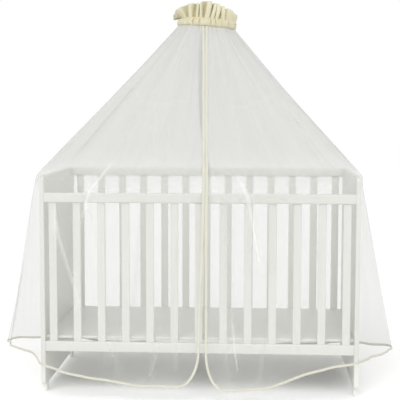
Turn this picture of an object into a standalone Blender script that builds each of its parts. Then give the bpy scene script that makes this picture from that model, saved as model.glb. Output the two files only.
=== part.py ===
"""Mosquito net canopy: a sheer net gathered on a hoop, held by a pole on the rail of a plain cot.

Units are metres and +Z is up.  X runs along the cot, Y from its front to its back.  The sizes
below are measured from the floor under the cot's centre.  The last step moves the whole model
so that the origin lies on the floor under the middle of its box.
"""
import math
from collections import namedtuple

import bmesh
import bpy
from mathutils import Matrix, Vector

# ---------------------------------------------------------------- driving sizes
GAP = 0.0003                # clearance between pieces that touch

# cot
COT_LENGTH = 1.240          # over the end panels, for a 1200 x 600 mm mattress
COT_WIDTH = 0.660
PANEL_THICK = 0.018
PANEL_BOTTOM = 0.030
PANEL_TOP = 0.856
PANEL_CORNER = 0.020        # radius of the panel's corners
PANEL_EDGE = 0.0020         # softened board edge
FOOT_LENGTH = 0.045         # along Y
FOOT_THICK = 0.016
FOOT_INSET = 0.010          # foot to the panel's front and back edges
RAIL_THICK = 0.022
RAIL_EDGE = 0.005
RAIL_INSET = 0.012          # panel edge to the rail's middle
TOP_RAIL_HEIGHT = 0.038
BOTTOM_RAIL_HEIGHT = 0.040
BOTTOM_RAIL_Z = 0.166
FRONT_RAIL_DROP = 0.066     # the front side is slid down by this much
SLATS_A_SIDE = 13
SLAT_PITCH = 0.095
SLAT_WIDTH = 0.031
SLAT_THICK = 0.010
SLAT_EDGE = 0.003
BASE_THICK = 0.010
BASE_Z = 0.215
BASE_SIDE_GAP = 0.004       # base board to the slats

RAIL_Y = COT_WIDTH / 2 - RAIL_INSET
PANEL_X = COT_LENGTH / 2 - PANEL_THICK / 2
CLEAR_LENGTH = COT_LENGTH - 2 * PANEL_THICK - 2 * GAP

# hoop, heading and pole
RING_X = 0.009
RING_Y = 0.060
RING_Z = 1.452              # lower edge of the heading at the ring's middle
RING_TILT = math.radians(4.2)       # the right side hangs lower
NET_TOP_RADIUS = 0.116
NET_TOP_DROP = 0.001        # net's upper edge below the heading
BAND_RADIUS = 0.1215
BAND_HEIGHT = 0.031         # casing band, up to the shirring line
SHIRR_RADIUS = 0.108
HEADING_CLOTH = 0.0025      # doubled cotton
CASING_LIP_RADIUS = 0.104
CASING_LIP_HEIGHT = 0.0075
HOOP_RADIUS = 0.1125
HOOP_WIRE = 0.006
FRILL_SIDE = 0.031          # frill height at the two sides
FRILL_FRONT = 0.065         # and at the front and back
FRILL_LEAN_FRONT = math.radians(6)
FRILL_LEAN_LEFT = math.radians(82)  # the left side flops outwards
FRILL_LEAN_RIGHT = math.radians(14)
POLE_RADIUS = 0.0085
POLE_TURN = 164.5           # degrees round the ring from the front, by the left
POLE_X = -0.006             # its foot
POLE_TOP_STRAIGHT = 0.040
POLE_STEPS = (1, 4, 4, 3, 1)        # points along each stretch
COLLAR_SLACK = 0.0005
COLLAR_WALL = 0.004
COLLAR_HEIGHT = 0.020
SADDLE_WIDTH = 0.036
SADDLE_TOP = 0.008
SADDLE_CHEEK = 0.004
SADDLE_DEPTH = 0.026
KNOB_RADIUS = 0.011
KNOB_THICK = 0.009
BRACKET_WIDTH = 0.020
BRACKET_HEIGHT = 0.008
BRACKET_EDGE = 0.0015

HOOP_TOP = HEADING_CLOTH + GAP + HOOP_WIRE          # above the heading's lower edge
POLE_Z = PANEL_TOP + GAP + SADDLE_TOP + GAP         # foot of the pole

# net and its binding
NET_THICK = 0.002
BINDING_WIDTH = 0.011
BINDING_THICK = 0.003
BINDING_TOP_DROP = 0.002    # binding's ends below the net's upper edge
SHOULDER = 0.5              # share of the drop at which the net bends over the cot's edge
ROUNDED_WIDTH = 0.074       # rounded lower front corners, along the hem
ROUNDED_HEIGHT = 0.124      # and up the front edge
HIP_SHARE = 0.08            # share of the skirt over which the hip comes out

# Guides round the net, from its left front edge by the left end and the back to its right
# front edge: degrees round the ring, where the net crosses the cot's edge, where it ends,
# how far it sags inwards above the edge, how far it stands out just below it (its hip), and
# the columns up to the next guide.
Guide = namedtuple("Guide", "name turn x y z hem_x hem_y hem_z sag hip columns")
GUIDES = (
    Guide("left front edge",     5.8,  0.013, -0.337, 0.796, -0.005, -0.412, 0.060, .010, .004, 5),
    Guide("left rounded end",   11.0, -0.070, -0.337, 0.796, -0.079, -0.416, 0.060, .010, .004, 3),
    Guide("left panel",         24.0, -0.280, -0.337, 0.796, -0.240, -0.408, 0.066, .006, .004, 3),
    Guide("left panel outer",   34.0, -0.440, -0.337, 0.800, -0.400, -0.412, 0.086, .002, .004, 3),
    Guide("left slack",         44.0, -0.560, -0.338, 0.834, -0.530, -0.398, 0.116, .000, .006, 2),
    Guide("left front corner",  51.0, -0.622, -0.339, 0.862, -0.622, -0.368, 0.136, .002, .012, 2),
    Guide("left flare front",   56.0, -0.628, -0.325, 0.863, -0.678, -0.240, 0.146, .003, .022, 2),
    Guide("left flare rise",    62.0, -0.628, -0.285, 0.863, -0.748, -0.110, 0.126, .000, .026, 2),
    Guide("left flare tip",     69.0, -0.628, -0.220, 0.863, -0.842,  0.016, 0.118, -.002, .028, 3),
    Guide("left flare fall",    82.0, -0.628, -0.080, 0.863, -0.856,  0.130, 0.108, -.004, .022, 3),
    Guide("left end middle",    97.0, -0.628,  0.110, 0.863, -0.800,  0.230, 0.096, -.002, .014, 3),
    Guide("left end back",     114.0, -0.628,  0.328, 0.863, -0.716,  0.335, 0.080, .006, .010, 2),
    Guide("left back corner",  120.0, -0.622,  0.342, 0.862, -0.610,  0.404, 0.058, .008, .008, 3),
    Guide("back left",         140.0, -0.400,  0.343, 0.862, -0.380,  0.424, 0.040, .004, .004, 3),
    Guide("back left middle",  162.0, -0.160,  0.344, 0.862, -0.150,  0.412, 0.036, .004, .002, 3),
    Guide("back right middle", 192.0,  0.170,  0.344, 0.862,  0.160,  0.422, 0.034, .004, .002, 3),
    Guide("back right",        218.0,  0.410,  0.343, 0.862,  0.390,  0.410, 0.042, .006, .004, 3),
    Guide("right back corner", 240.0,  0.619,  0.342, 0.862,  0.600,  0.400, 0.060, .014, .006, 2),
    Guide("right end back",    246.0,  0.624,  0.328, 0.863,  0.668,  0.310, 0.084, .010, .004, 3),
    Guide("right end middle",  262.0,  0.624,  0.110, 0.863,  0.732,  0.190, 0.098, .000, .002, 3),
    Guide("right flare fall",  278.0,  0.624, -0.080, 0.863,  0.776,  0.090, 0.118, .002, .000, 3),
    Guide("right flare tip",   290.0,  0.624, -0.220, 0.863,  0.784, -0.010, 0.127, .008, .000, 2),
    Guide("right flare rise",  298.0,  0.624, -0.285, 0.863,  0.738, -0.120, 0.130, .012, .000, 2),
    Guide("right flare front", 303.0,  0.624, -0.325, 0.863,  0.670, -0.246, 0.142, .014, .001, 2),
    Guide("right front corner", 308.0, 0.619, -0.339, 0.862,  0.612, -0.372, 0.154, .015, .002, 2),
    Guide("right slack",       315.0,  0.560, -0.338, 0.834,  0.540, -0.400, 0.150, .008, .003, 3),
    Guide("right panel outer", 325.0,  0.440, -0.337, 0.800,  0.420, -0.414, 0.118, .004, .004, 3),
    Guide("right panel",       336.0,  0.280, -0.337, 0.796,  0.260, -0.420, 0.066, .006, .004, 3),
    Guide("right rounded end", 349.0,  0.110, -0.337, 0.796,  0.113, -0.434, 0.054, .010, .004, 5),
    Guide("right front edge",  354.2,  0.037, -0.337, 0.796,  0.039, -0.424, 0.056, .010, .004, 0),
)
ROUNDED_STEPS = (0.0, 0.05, 0.15, 0.35, 0.65, 1.0)      # columns of the two rounded spans
ROWS = (0.0, 0.10, 0.21, 0.32, 0.41, 0.47, 0.5, 0.52, 0.55, 0.60, 0.67, 0.75, 0.84, 0.92, 1.0)

# Soft hanging folds: place round the hem (0 to 1), width as the same share, depth outwards
# (inwards where negative) and the share of the drop at which each begins.
Fold = namedtuple("Fold", "name place width depth start")
FOLDS = (
    Fold("left panel crease",    0.050, 0.018,  0.014, 0.60),
    Fold("left panel hollow",    0.082, 0.024, -0.010, 0.62),
    Fold("left corner fold",     0.118, 0.016,  0.018, 0.52),
    Fold("left corner hollow",   0.160, 0.016, -0.012, 0.58),
    Fold("left end pleat",       0.190, 0.012,  0.014, 0.60),
    Fold("left tip back hollow", 0.262, 0.018, -0.020, 0.56),
    Fold("left back fold",       0.300, 0.020,  0.022, 0.54),
    Fold("back crease one",      0.372, 0.018,  0.020, 0.55),
    Fold("back hollow one",      0.408, 0.020, -0.014, 0.60),
    Fold("back crease two",      0.452, 0.022,  0.024, 0.53),
    Fold("back hollow two",      0.498, 0.020, -0.012, 0.60),
    Fold("back crease three",    0.540, 0.018,  0.020, 0.56),
    Fold("back crease four",     0.600, 0.022,  0.022, 0.54),
    Fold("right back hollow",    0.690, 0.018, -0.014, 0.56),
    Fold("right tip back fold",  0.728, 0.016,  0.016, 0.55),
    Fold("right end hollow",     0.820, 0.018, -0.012, 0.58),
    Fold("right corner fold",    0.872, 0.016,  0.016, 0.52),
    Fold("right panel hollow",   0.912, 0.022, -0.010, 0.60),
    Fold("right panel crease",   0.944, 0.018,  0.018, 0.56),
)

# Frill pleats, repeated round the ring: relative width and relative depth of each.
Pleat = namedtuple("Pleat", "width depth")
PLEATS = (
    Pleat(1.00, 1.00), Pleat(1.30, 0.80), Pleat(0.80, 1.15), Pleat(1.15, 0.70),
    Pleat(0.85, 1.20), Pleat(1.20, 0.95), Pleat(0.75, 0.75), Pleat(0.95, 1.10),
)
PLEAT_SETS = 3
COLUMNS_A_PLEAT = 4

Finish = namedtuple("Finish", "colour roughness metallic alpha")
FINISHES = {
    "net_mesh": Finish((0.86, 0.86, 0.83), 0.85, 0.0, 0.45),
    "cream_binding": Finish((0.78, 0.75, 0.62), 0.80, 0.0, 1.0),
    "cream_cotton": Finish((0.76, 0.70, 0.50), 0.85, 0.0, 1.0),
    "painted_wood": Finish((0.84, 0.85, 0.80), 0.45, 0.0, 1.0),
    "painted_steel": Finish((0.72, 0.73, 0.72), 0.40, 0.0, 1.0),
    "white_plastic": Finish((0.80, 0.80, 0.78), 0.50, 0.0, 1.0),
}


# ---------------------------------------------------------------- scene helpers
def clear_scene():
    for item in list(bpy.data.objects):
        bpy.data.objects.remove(item, do_unlink=True)


def material(name):
    found = bpy.data.materials.get(name)
    if found:
        return found
    finish = FINISHES[name]
    made = bpy.data.materials.new(name)
    made.use_nodes = True
    shader = made.node_tree.nodes["Principled BSDF"]
    shader.inputs["Base Color"].default_value = (*finish.colour, 1.0)
    shader.inputs["Roughness"].default_value = finish.roughness
    shader.inputs["Metallic"].default_value = finish.metallic
    shader.inputs["Alpha"].default_value = finish.alpha
    return made


def object_from(shape, name, finish, smooth_degrees=None):
    """Turn a bmesh into a named object with one material."""
    bmesh.ops.recalc_face_normals(shape, faces=shape.faces)
    mesh = bpy.data.meshes.new(name)
    shape.to_mesh(mesh)
    shape.free()
    mesh.materials.append(material(finish))
    if smooth_degrees is not None:
        mesh.shade_smooth()
        mesh.set_sharp_from_angle(angle=math.radians(smooth_degrees))
    item = bpy.data.objects.new(name, mesh)
    bpy.context.collection.objects.link(item)
    return item


def grid_faces(shape, rows, close_rows=False, close_columns=False):
    """Join rows of vertices into quads, closing either direction where asked."""
    row_count = len(rows)
    column_count = len(rows[0])
    for i in range(row_count if close_rows else row_count - 1):
        upper = rows[i]
        lower = rows[(i + 1) % row_count]
        for j in range(column_count if close_columns else column_count - 1):
            k = (j + 1) % column_count
            shape.faces.new((upper[j], upper[k], lower[k], lower[j]))


def block(name, low, high, finish, edge, segments=1, axis=None):
    """A board or bar between two corners, its edges softened; axis limits them to one way."""
    shape = bmesh.new()
    low = Vector(low)
    high = Vector(high)
    size = high - low
    bmesh.ops.create_cube(shape, size=1.0, matrix=Matrix.Diagonal((*size, 1.0)))
    edges = shape.edges[:]
    if axis is not None:
        edges = [e for e in edges if abs((e.verts[0].co - e.verts[1].co)[axis]) > size[axis] / 2]
    bmesh.ops.bevel(shape, geom=edges, offset=edge, segments=segments, profile=0.5,
                    affect="EDGES")
    item = object_from(shape, name, finish, smooth_degrees=40)
    item.location = (low + high) / 2
    return item


def tube(name, path, radius, sides, finish, across):
    """A round bar along a path of points, with flat ends; across is a way that no run takes."""
    shape = bmesh.new()
    rings = []
    last = len(path) - 1
    for i, point in enumerate(path):
        run = (path[min(i + 1, last)] - path[max(i - 1, 0)]).normalized()
        side = run.cross(across).normalized()
        other = run.cross(side)
        ring = []
        for k in range(sides):
            angle = 2 * math.pi * k / sides
            ring.append(shape.verts.new(point + radius * (math.cos(angle) * side
                                                          + math.sin(angle) * other)))
        rings.append(ring)
    grid_faces(shape, rings, close_columns=True)
    shape.faces.new(rings[0])
    shape.faces.new(rings[-1])
    return object_from(shape, name, finish, smooth_degrees=40)


def smooth_curve(a, b, c, d, t):
    """Catmull-Rom curve between b and c."""
    return 0.5 * (2 * b + (c - a) * t + (2 * a - 5 * b + 4 * c - d) * t * t
                  + (3 * b - a - 3 * c + d) * t * t * t)


def ease(t):
    t = min(max(t, 0.0), 1.0)
    return t * t * (3 - 2 * t)


# ---------------------------------------------------------------- cot
def end_panel(name, side):
    """A board with rounded corners at one end of the cot."""
    shape = bmesh.new()
    height = PANEL_TOP - PANEL_BOTTOM
    bmesh.ops.create_cube(shape, size=1.0,
                          matrix=Matrix.Diagonal((PANEL_THICK, COT_WIDTH, height, 1.0)))
    corners = [e for e in shape.edges
               if abs((e.verts[0].co - e.verts[1].co).x) > PANEL_THICK / 2]
    bmesh.ops.bevel(shape, geom=corners, offset=PANEL_CORNER, segments=4, profile=0.5,
                    affect="EDGES")
    outline = [e for e in shape.edges if abs((e.verts[0].co - e.verts[1].co).x) < PANEL_EDGE]
    bmesh.ops.bevel(shape, geom=outline, offset=PANEL_EDGE, segments=1, profile=0.5,
                    affect="EDGES")
    item = object_from(shape, name, "painted_wood", smooth_degrees=40)
    item.location = (side * PANEL_X, 0.0, (PANEL_TOP + PANEL_BOTTOM) / 2)


def foot(name, side, end):
    middle_y = end * (COT_WIDTH / 2 - PANEL_CORNER - FOOT_INSET - FOOT_LENGTH / 2)
    block(name,
          (side * PANEL_X - FOOT_THICK / 2, middle_y - FOOT_LENGTH / 2, 0.0),
          (side * PANEL_X + FOOT_THICK / 2, middle_y + FOOT_LENGTH / 2, PANEL_BOTTOM - GAP),
          "white_plastic", 0.004, segments=2)


def rail(name, middle_y, bottom, height):
    block(name,
          (-CLEAR_LENGTH / 2, middle_y - RAIL_THICK / 2, bottom),
          (CLEAR_LENGTH / 2, middle_y + RAIL_THICK / 2, bottom + height),
          "painted_wood", RAIL_EDGE, segments=2, axis=0)


def slats(prefix, middle_y, top):
    """A row of flat bars between the bottom rail and the top rail."""
    bottom = BOTTOM_RAIL_Z + BOTTOM_RAIL_HEIGHT + GAP
    for i in range(SLATS_A_SIDE):
        x = (i - (SLATS_A_SIDE - 1) / 2) * SLAT_PITCH
        block("%s_%02d" % (prefix, i + 1),
              (x - SLAT_WIDTH / 2, middle_y - SLAT_THICK / 2, bottom),
              (x + SLAT_WIDTH / 2, middle_y + SLAT_THICK / 2, top - GAP),
              "painted_wood", SLAT_EDGE, axis=2)


def cot():
    back_rail_z = PANEL_TOP - TOP_RAIL_HEIGHT
    front_rail_z = back_rail_z - FRONT_RAIL_DROP
    for side, side_name in ((-1, "left"), (1, "right")):
        end_panel("end_panel_" + side_name, side)
        for end, end_name in ((-1, "front"), (1, "back")):
            foot("foot_%s_%s" % (end_name, side_name), side, end)
    rail("front_top_rail", -RAIL_Y, front_rail_z, TOP_RAIL_HEIGHT)
    rail("front_bottom_rail", -RAIL_Y, BOTTOM_RAIL_Z, BOTTOM_RAIL_HEIGHT)
    rail("back_top_rail", RAIL_Y, back_rail_z, TOP_RAIL_HEIGHT)
    rail("back_bottom_rail", RAIL_Y, BOTTOM_RAIL_Z, BOTTOM_RAIL_HEIGHT)
    slats("front_slat", -RAIL_Y, front_rail_z)
    slats("back_slat", RAIL_Y, back_rail_z)
    base_y = RAIL_Y - SLAT_THICK / 2 - BASE_SIDE_GAP
    block("base_board", (-CLEAR_LENGTH / 2, -base_y, BASE_Z),
          (CLEAR_LENGTH / 2, base_y, BASE_Z + BASE_THICK), "painted_wood", 0.002)


# ---------------------------------------------------------------- ring, heading and pole
def on_ring(turn, radius, height):
    """A point in the tilted ring's own frame; turn is in degrees from the front, by the left."""
    angle = math.radians(turn)
    x = -radius * math.sin(angle)
    y = -radius * math.cos(angle)
    return Vector((RING_X + x * math.cos(RING_TILT) + height * math.sin(RING_TILT),
                   RING_Y + y,
                   RING_Z - x * math.sin(RING_TILT) + height * math.cos(RING_TILT)))


def pleat_columns():
    """Turn and in-or-out amount (-1 to 1) of each column of the frill."""
    total = PLEAT_SETS * sum(p.width for p in PLEATS)
    columns = []
    start = 0.0
    for _ in range(PLEAT_SETS):
        for pleat in PLEATS:
            for k in range(COLUMNS_A_PLEAT):
                share = k / COLUMNS_A_PLEAT
                turn = 360.0 * (start + pleat.width * share) / total
                columns.append((turn, -math.cos(2 * math.pi * share) * pleat.depth))
            start += pleat.width
    return columns


def heading():
    """Cotton strip: a casing band that holds the hoop, shirred, with a frill standing above."""
    band_rows = ((0.0, BAND_RADIUS - 0.0010, 0.0010), (0.5, BAND_RADIUS + 0.0008, 0.0016),
                 (1.0, SHIRR_RADIUS, 0.0020))
    frill_rows = ((0.25, 0.0050), (0.60, 0.0085), (1.0, 0.0105))
    channel = HEADING_CLOTH
    shape = bmesh.new()
    columns = []
    for turn, wave in pleat_columns():
        sideways = math.sin(math.radians(turn)) ** 2
        frill = FRILL_FRONT + (FRILL_SIDE - FRILL_FRONT) * sideways
        side_lean = FRILL_LEAN_LEFT if turn < 180 else FRILL_LEAN_RIGHT
        lean = FRILL_LEAN_FRONT + (side_lean - FRILL_LEAN_FRONT) * sideways
        middle = [(radius, BAND_HEIGHT * share, depth * wave, lean / 2 if share == 1.0 else 0.0)
                  for share, radius, depth in band_rows]
        middle += [(SHIRR_RADIUS + frill * share * math.sin(lean),
                    BAND_HEIGHT + frill * share * math.cos(lean), depth * wave, lean)
                   for share, depth in frill_rows]
        outer = [(radius + out * math.cos(tip), height - out * math.sin(tip))
                 for radius, height, out, tip in middle]
        inner = [(radius + (out - HEADING_CLOTH) * math.cos(tip),
                  height - (out - HEADING_CLOTH) * math.sin(tip))
                 for radius, height, out, tip in reversed(middle)]
        inner[-1] = (inner[-1][0], channel)
        lip = [(CASING_LIP_RADIUS + HEADING_CLOTH, channel),
               (CASING_LIP_RADIUS + HEADING_CLOTH, CASING_LIP_HEIGHT),
               (CASING_LIP_RADIUS, CASING_LIP_HEIGHT),
               (CASING_LIP_RADIUS, 0.0)]
        columns.append([shape.verts.new(on_ring(turn, radius, height))
                        for radius, height in outer + inner + lip])
    grid_faces(shape, columns, close_rows=True, close_columns=True)
    object_from(shape, "heading", "cream_cotton", smooth_degrees=60)


def hoop():
    steps = 48
    sides = 8
    shape = bmesh.new()
    rings = []
    middle = HOOP_TOP - HOOP_WIRE / 2
    for i in range(steps):
        turn = 360.0 * i / steps
        ring = []
        for k in range(sides):
            angle = 2 * math.pi * k / sides
            ring.append(shape.verts.new(on_ring(turn,
                                                HOOP_RADIUS + HOOP_WIRE / 2 * math.cos(angle),
                                                middle + HOOP_WIRE / 2 * math.sin(angle))))
        rings.append(ring)
    grid_faces(shape, rings, close_rows=True, close_columns=True)
    object_from(shape, "hoop", "painted_steel", smooth_degrees=60)


def pole():
    """The pole from the saddle on the back rail up to the bracket inside the ring."""
    radius = CASING_LIP_RADIUS - GAP - POLE_RADIUS
    top = on_ring(POLE_TURN, radius, HOOP_TOP)
    below = on_ring(POLE_TURN, radius, HOOP_TOP - POLE_TOP_STRAIGHT)
    foot_of_pole = Vector((POLE_X, RAIL_Y, POLE_Z))
    stops = (foot_of_pole - Vector((0.0, 0.0, COLLAR_HEIGHT)),
             foot_of_pole,
             foot_of_pole + Vector((0.0, 0.0, COLLAR_HEIGHT * 1.2)),
             Vector((-0.024, 0.252, 1.110)),
             Vector((-0.023, 0.186, 1.320)),
             below,
             top,
             top + (top - below))
    path = [stops[1]]
    for i, steps in zip(range(1, len(stops) - 2), POLE_STEPS):
        for k in range(1, steps + 1):
            path.append(smooth_curve(*stops[i - 1:i + 3], k / steps))
    tube("pole", path, POLE_RADIUS, 12, "painted_steel", Vector((1.0, 0.0, 0.0)))


def pole_collar():
    """A short ring round the foot of the pole."""
    shape = bmesh.new()
    inner = POLE_RADIUS + COLLAR_SLACK
    outer = inner + COLLAR_WALL
    sides = 16
    rings = []
    for radius, height in ((inner, 0.0), (outer, 0.0), (outer, COLLAR_HEIGHT),
                           (inner, COLLAR_HEIGHT)):
        rings.append([shape.verts.new((POLE_X + radius * math.cos(2 * math.pi * k / sides),
                                       RAIL_Y + radius * math.sin(2 * math.pi * k / sides),
                                       POLE_Z + height)) for k in range(sides)])
    grid_faces(shape, rings, close_rows=True, close_columns=True)
    object_from(shape, "pole_collar", "painted_steel", smooth_degrees=40)


def hoop_bracket():
    """A small plate over the pole's end and the hoop, inside the heading."""
    shape = bmesh.new()
    inside = CASING_LIP_RADIUS - GAP - 2 * POLE_RADIUS
    outside = HOOP_RADIUS + HOOP_WIRE / 2
    low = HOOP_TOP + GAP
    corners = []
    for height in (low, low + BRACKET_HEIGHT):
        for along, turn_way in ((inside, -1), (outside, -1), (outside, 1), (inside, 1)):
            turn = POLE_TURN + turn_way * math.degrees(BRACKET_WIDTH / 2 / along)
            corners.append(shape.verts.new(on_ring(turn, along, height)))
    shape.faces.new(corners[0:4])
    shape.faces.new(corners[4:8])
    for k in range(4):
        n = (k + 1) % 4
        shape.faces.new((corners[k], corners[n], corners[n + 4], corners[k + 4]))
    bmesh.ops.bevel(shape, geom=shape.edges[:], offset=BRACKET_EDGE, segments=1, affect="EDGES")
    object_from(shape, "hoop_bracket", "painted_steel", smooth_degrees=40)


def saddle():
    """The saddle that hooks over the back rail."""
    shape = bmesh.new()
    half = RAIL_THICK / 2 + GAP
    under = PANEL_TOP + GAP
    wide = half + SADDLE_CHEEK
    tip = PANEL_TOP - SADDLE_DEPTH
    outline = ((wide, under + SADDLE_TOP), (-wide, under + SADDLE_TOP), (-wide, tip),
               (-half, tip), (-half, under), (half, under), (half, tip), (wide, tip))
    face = shape.faces.new([shape.verts.new((POLE_X - SADDLE_WIDTH / 2, RAIL_Y + y, z))
                            for y, z in outline])
    pushed = bmesh.ops.extrude_face_region(shape, geom=[face])
    moved = [v for v in pushed["geom"] if isinstance(v, bmesh.types.BMVert)]
    bmesh.ops.translate(shape, verts=moved, vec=(SADDLE_WIDTH, 0.0, 0.0))
    object_from(shape, "saddle", "painted_steel", smooth_degrees=40)


def saddle_knob():
    """The clamping knob against the saddle's inner cheek."""
    start = Vector((POLE_X, RAIL_Y - RAIL_THICK / 2 - SADDLE_CHEEK - 2 * GAP,
                    PANEL_TOP - SADDLE_DEPTH / 2))
    path = [start, start - Vector((0.0, KNOB_THICK, 0.0))]
    tube("saddle_knob", path, KNOB_RADIUS, 12, "white_plastic", Vector((1.0, 0.0, 0.0)))


# ---------------------------------------------------------------- net
def guide_point(place, kind):
    """Point on the hem (smooth) or on the cot's edge (straight) at a place among the guides."""
    last = len(GUIDES) - 1
    i = min(int(place), last - 1)
    t = place - i

    def at(n):
        guide = GUIDES[min(max(n, 0), last)]
        if kind == "hem":
            return Vector((guide.hem_x, guide.hem_y, guide.hem_z))
        return Vector((guide.x, guide.y, guide.z))

    if kind == "hem":
        return smooth_curve(at(i - 1), at(i), at(i + 1), at(i + 2), t)
    return at(i).lerp(at(i + 1), t)


def guide_value(place, column):
    """A column of the guides, read straight between two of them."""
    i = min(int(place), len(GUIDES) - 2)
    before = getattr(GUIDES[i], column)
    after = getattr(GUIDES[i + 1], column)
    return before + (after - before) * (place - i)


def column_places():
    """Place of each column of the net among the guides."""
    places = []
    last = len(GUIDES) - 2
    for i in range(last + 1):
        if i == 0:
            steps = ROUNDED_STEPS[:-1]
        elif i == last:
            steps = [1.0 - s for s in reversed(ROUNDED_STEPS[1:])]
        else:
            steps = [k / GUIDES[i].columns for k in range(GUIDES[i].columns)]
        places += [i + s for s in steps]
    places.append(float(last + 1))
    return places


class Net:
    """The hanging surface, as columns of points from the ring down to the hem."""

    def __init__(self):
        self.places = column_places()
        hem = [guide_point(p, "hem") for p in self.places]
        self.run = [0.0]
        for a, b in zip(hem, hem[1:]):
            self.run.append(self.run[-1] + (b - a).length)
        self.total = self.run[-1]

    def outward(self, index):
        """Level way out of the net at a column."""
        last = len(self.places) - 1
        a = guide_point(self.places[max(index - 1, 0)], "hem")
        b = guide_point(self.places[min(index + 1, last)], "hem")
        way = Vector((b.x - a.x, b.y - a.y, 0.0)).normalized()
        return Vector((-way.y, way.x, 0.0))

    def end_share(self, index):
        """Where a column ends, as a share of the full drop: less at the rounded corners."""
        edge_distance = min(self.run[index], self.total - self.run[index])
        if edge_distance >= ROUNDED_WIDTH:
            return 1.0
        across = 1.0 - edge_distance / ROUNDED_WIDTH
        rise = ROUNDED_HEIGHT * (1.0 - math.sqrt(1.0 - across * across))
        place = self.places[index]
        skirt = (guide_point(place, "hem") - guide_point(place, "edge")).length
        return 1.0 - (1.0 - SHOULDER) * rise / skirt

    def fold_depth(self, index, share):
        place = self.run[index] / self.total
        depth = 0.0
        for fold in FOLDS:
            off = (place - fold.place) / fold.width
            if abs(off) < 1.0 and share > fold.start:
                bump = 0.5 + 0.5 * math.cos(math.pi * off)
                depth += fold.depth * bump * ease((share - fold.start) / (1.0 - fold.start))
        return depth

    def point(self, index, share):
        place = self.places[index]
        top = on_ring(guide_value(place, "turn"), NET_TOP_RADIUS, -NET_TOP_DROP)
        edge = guide_point(place, "edge")
        if share <= SHOULDER:
            t = share / SHOULDER
            inward = Vector((RING_X - edge.x, RING_Y - edge.y, 0.0)).normalized()
            return top.lerp(edge, t) + inward * guide_value(place, "sag") * 4 * t * (1 - t)
        t = (share - SHOULDER) / (1.0 - SHOULDER)
        hip = guide_value(place, "hip") * (1.0 - math.exp(-t / HIP_SHARE)) * (1.0 - t)
        out = hip + self.fold_depth(index, share)
        return edge.lerp(guide_point(place, "hem"), t) + self.outward(index) * out

    def column(self, index):
        end = self.end_share(index)
        points = []
        for row in ROWS:
            share = row
            if row > SHOULDER:
                share = SHOULDER + (row - SHOULDER) * (end - SHOULDER) / (1.0 - SHOULDER)
            points.append(self.point(index, share))
        return points


def net_and_binding():
    surface = Net()
    columns = [surface.column(i) for i in range(len(surface.places))]
    last_column = len(columns) - 1
    last_row = len(ROWS) - 1

    shape = bmesh.new()
    grid_faces(shape, [[shape.verts.new(p) for p in column] for column in columns])
    item = object_from(shape, "net", "net_mesh", smooth_degrees=80)
    thicken = item.modifiers.new("cloth thickness", "SOLIDIFY")
    thicken.thickness = NET_THICK
    thicken.offset = 0.0

    def normal(i, j):
        along = columns[min(i + 1, last_column)][j] - columns[max(i - 1, 0)][j]
        down = columns[i][min(j + 1, last_row)] - columns[i][max(j - 1, 0)]
        return along.cross(down).normalized()

    rim = [(0, j) for j in range(last_row + 1)]
    rim += [(i, last_row) for i in range(1, last_column)]
    rim += [(last_column, j) for j in range(last_row, -1, -1)]
    points = [columns[i][j] for i, j in rim]
    shape = bmesh.new()
    sections = []
    for n, (i, j) in enumerate(rim):
        run = (points[min(n + 1, len(points) - 1)] - points[max(n - 1, 0)]).normalized()
        face_way = normal(i, j)
        out = run.cross(face_way).normalized()
        inner_i = min(max(i, 1), last_column - 1)
        inner_j = min(j, last_row - 1)
        if out.dot(columns[i][j] - columns[inner_i][inner_j]) < 0:
            out = -out
        half = face_way * BINDING_THICK / 2
        at = points[n]
        if j == 0:
            at = at + (columns[i][1] - at).normalized() * BINDING_TOP_DROP
        near = at + out * GAP
        far = at + out * (GAP + BINDING_WIDTH)
        sections.append([shape.verts.new(p) for p in (near + half, far + half,
                                                      far - half, near - half)])
    grid_faces(shape, sections, close_columns=True)
    shape.faces.new(sections[0])
    shape.faces.new(sections[-1])
    object_from(shape, "binding", "cream_binding", smooth_degrees=60)


# ---------------------------------------------------------------- placing
def settle_origin():
    """Move the model so that the origin is under the middle of its box, on the floor."""
    bpy.context.view_layer.update()
    shapes = bpy.context.evaluated_depsgraph_get()
    corners = []
    for item in bpy.data.objects:
        evaluated = item.evaluated_get(shapes)
        mesh = evaluated.to_mesh()
        corners += [evaluated.matrix_world @ v.co for v in mesh.vertices]
        evaluated.to_mesh_clear()
    shift = Vector((-(min(c.x for c in corners) + max(c.x for c in corners)) / 2,
                    -(min(c.y for c in corners) + max(c.y for c in corners)) / 2,
                    -min(c.z for c in corners)))
    for item in bpy.data.objects:
        item.location += shift


def main():
    clear_scene()
    cot()
    heading()
    hoop()
    pole()
    pole_collar()
    hoop_bracket()
    saddle()
    saddle_knob()
    net_and_binding()
    settle_origin()


main()
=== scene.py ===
"""Looks of a mosquito net canopy over a cot: net, bound edges, frilled heading, holder and cot.

It is laid out as an add-on and run as a script.  Everything is in metres, +Z up, in the frame of
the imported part.  Sizes of the cot and the holder are read from that part's nodes.
"""

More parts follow.
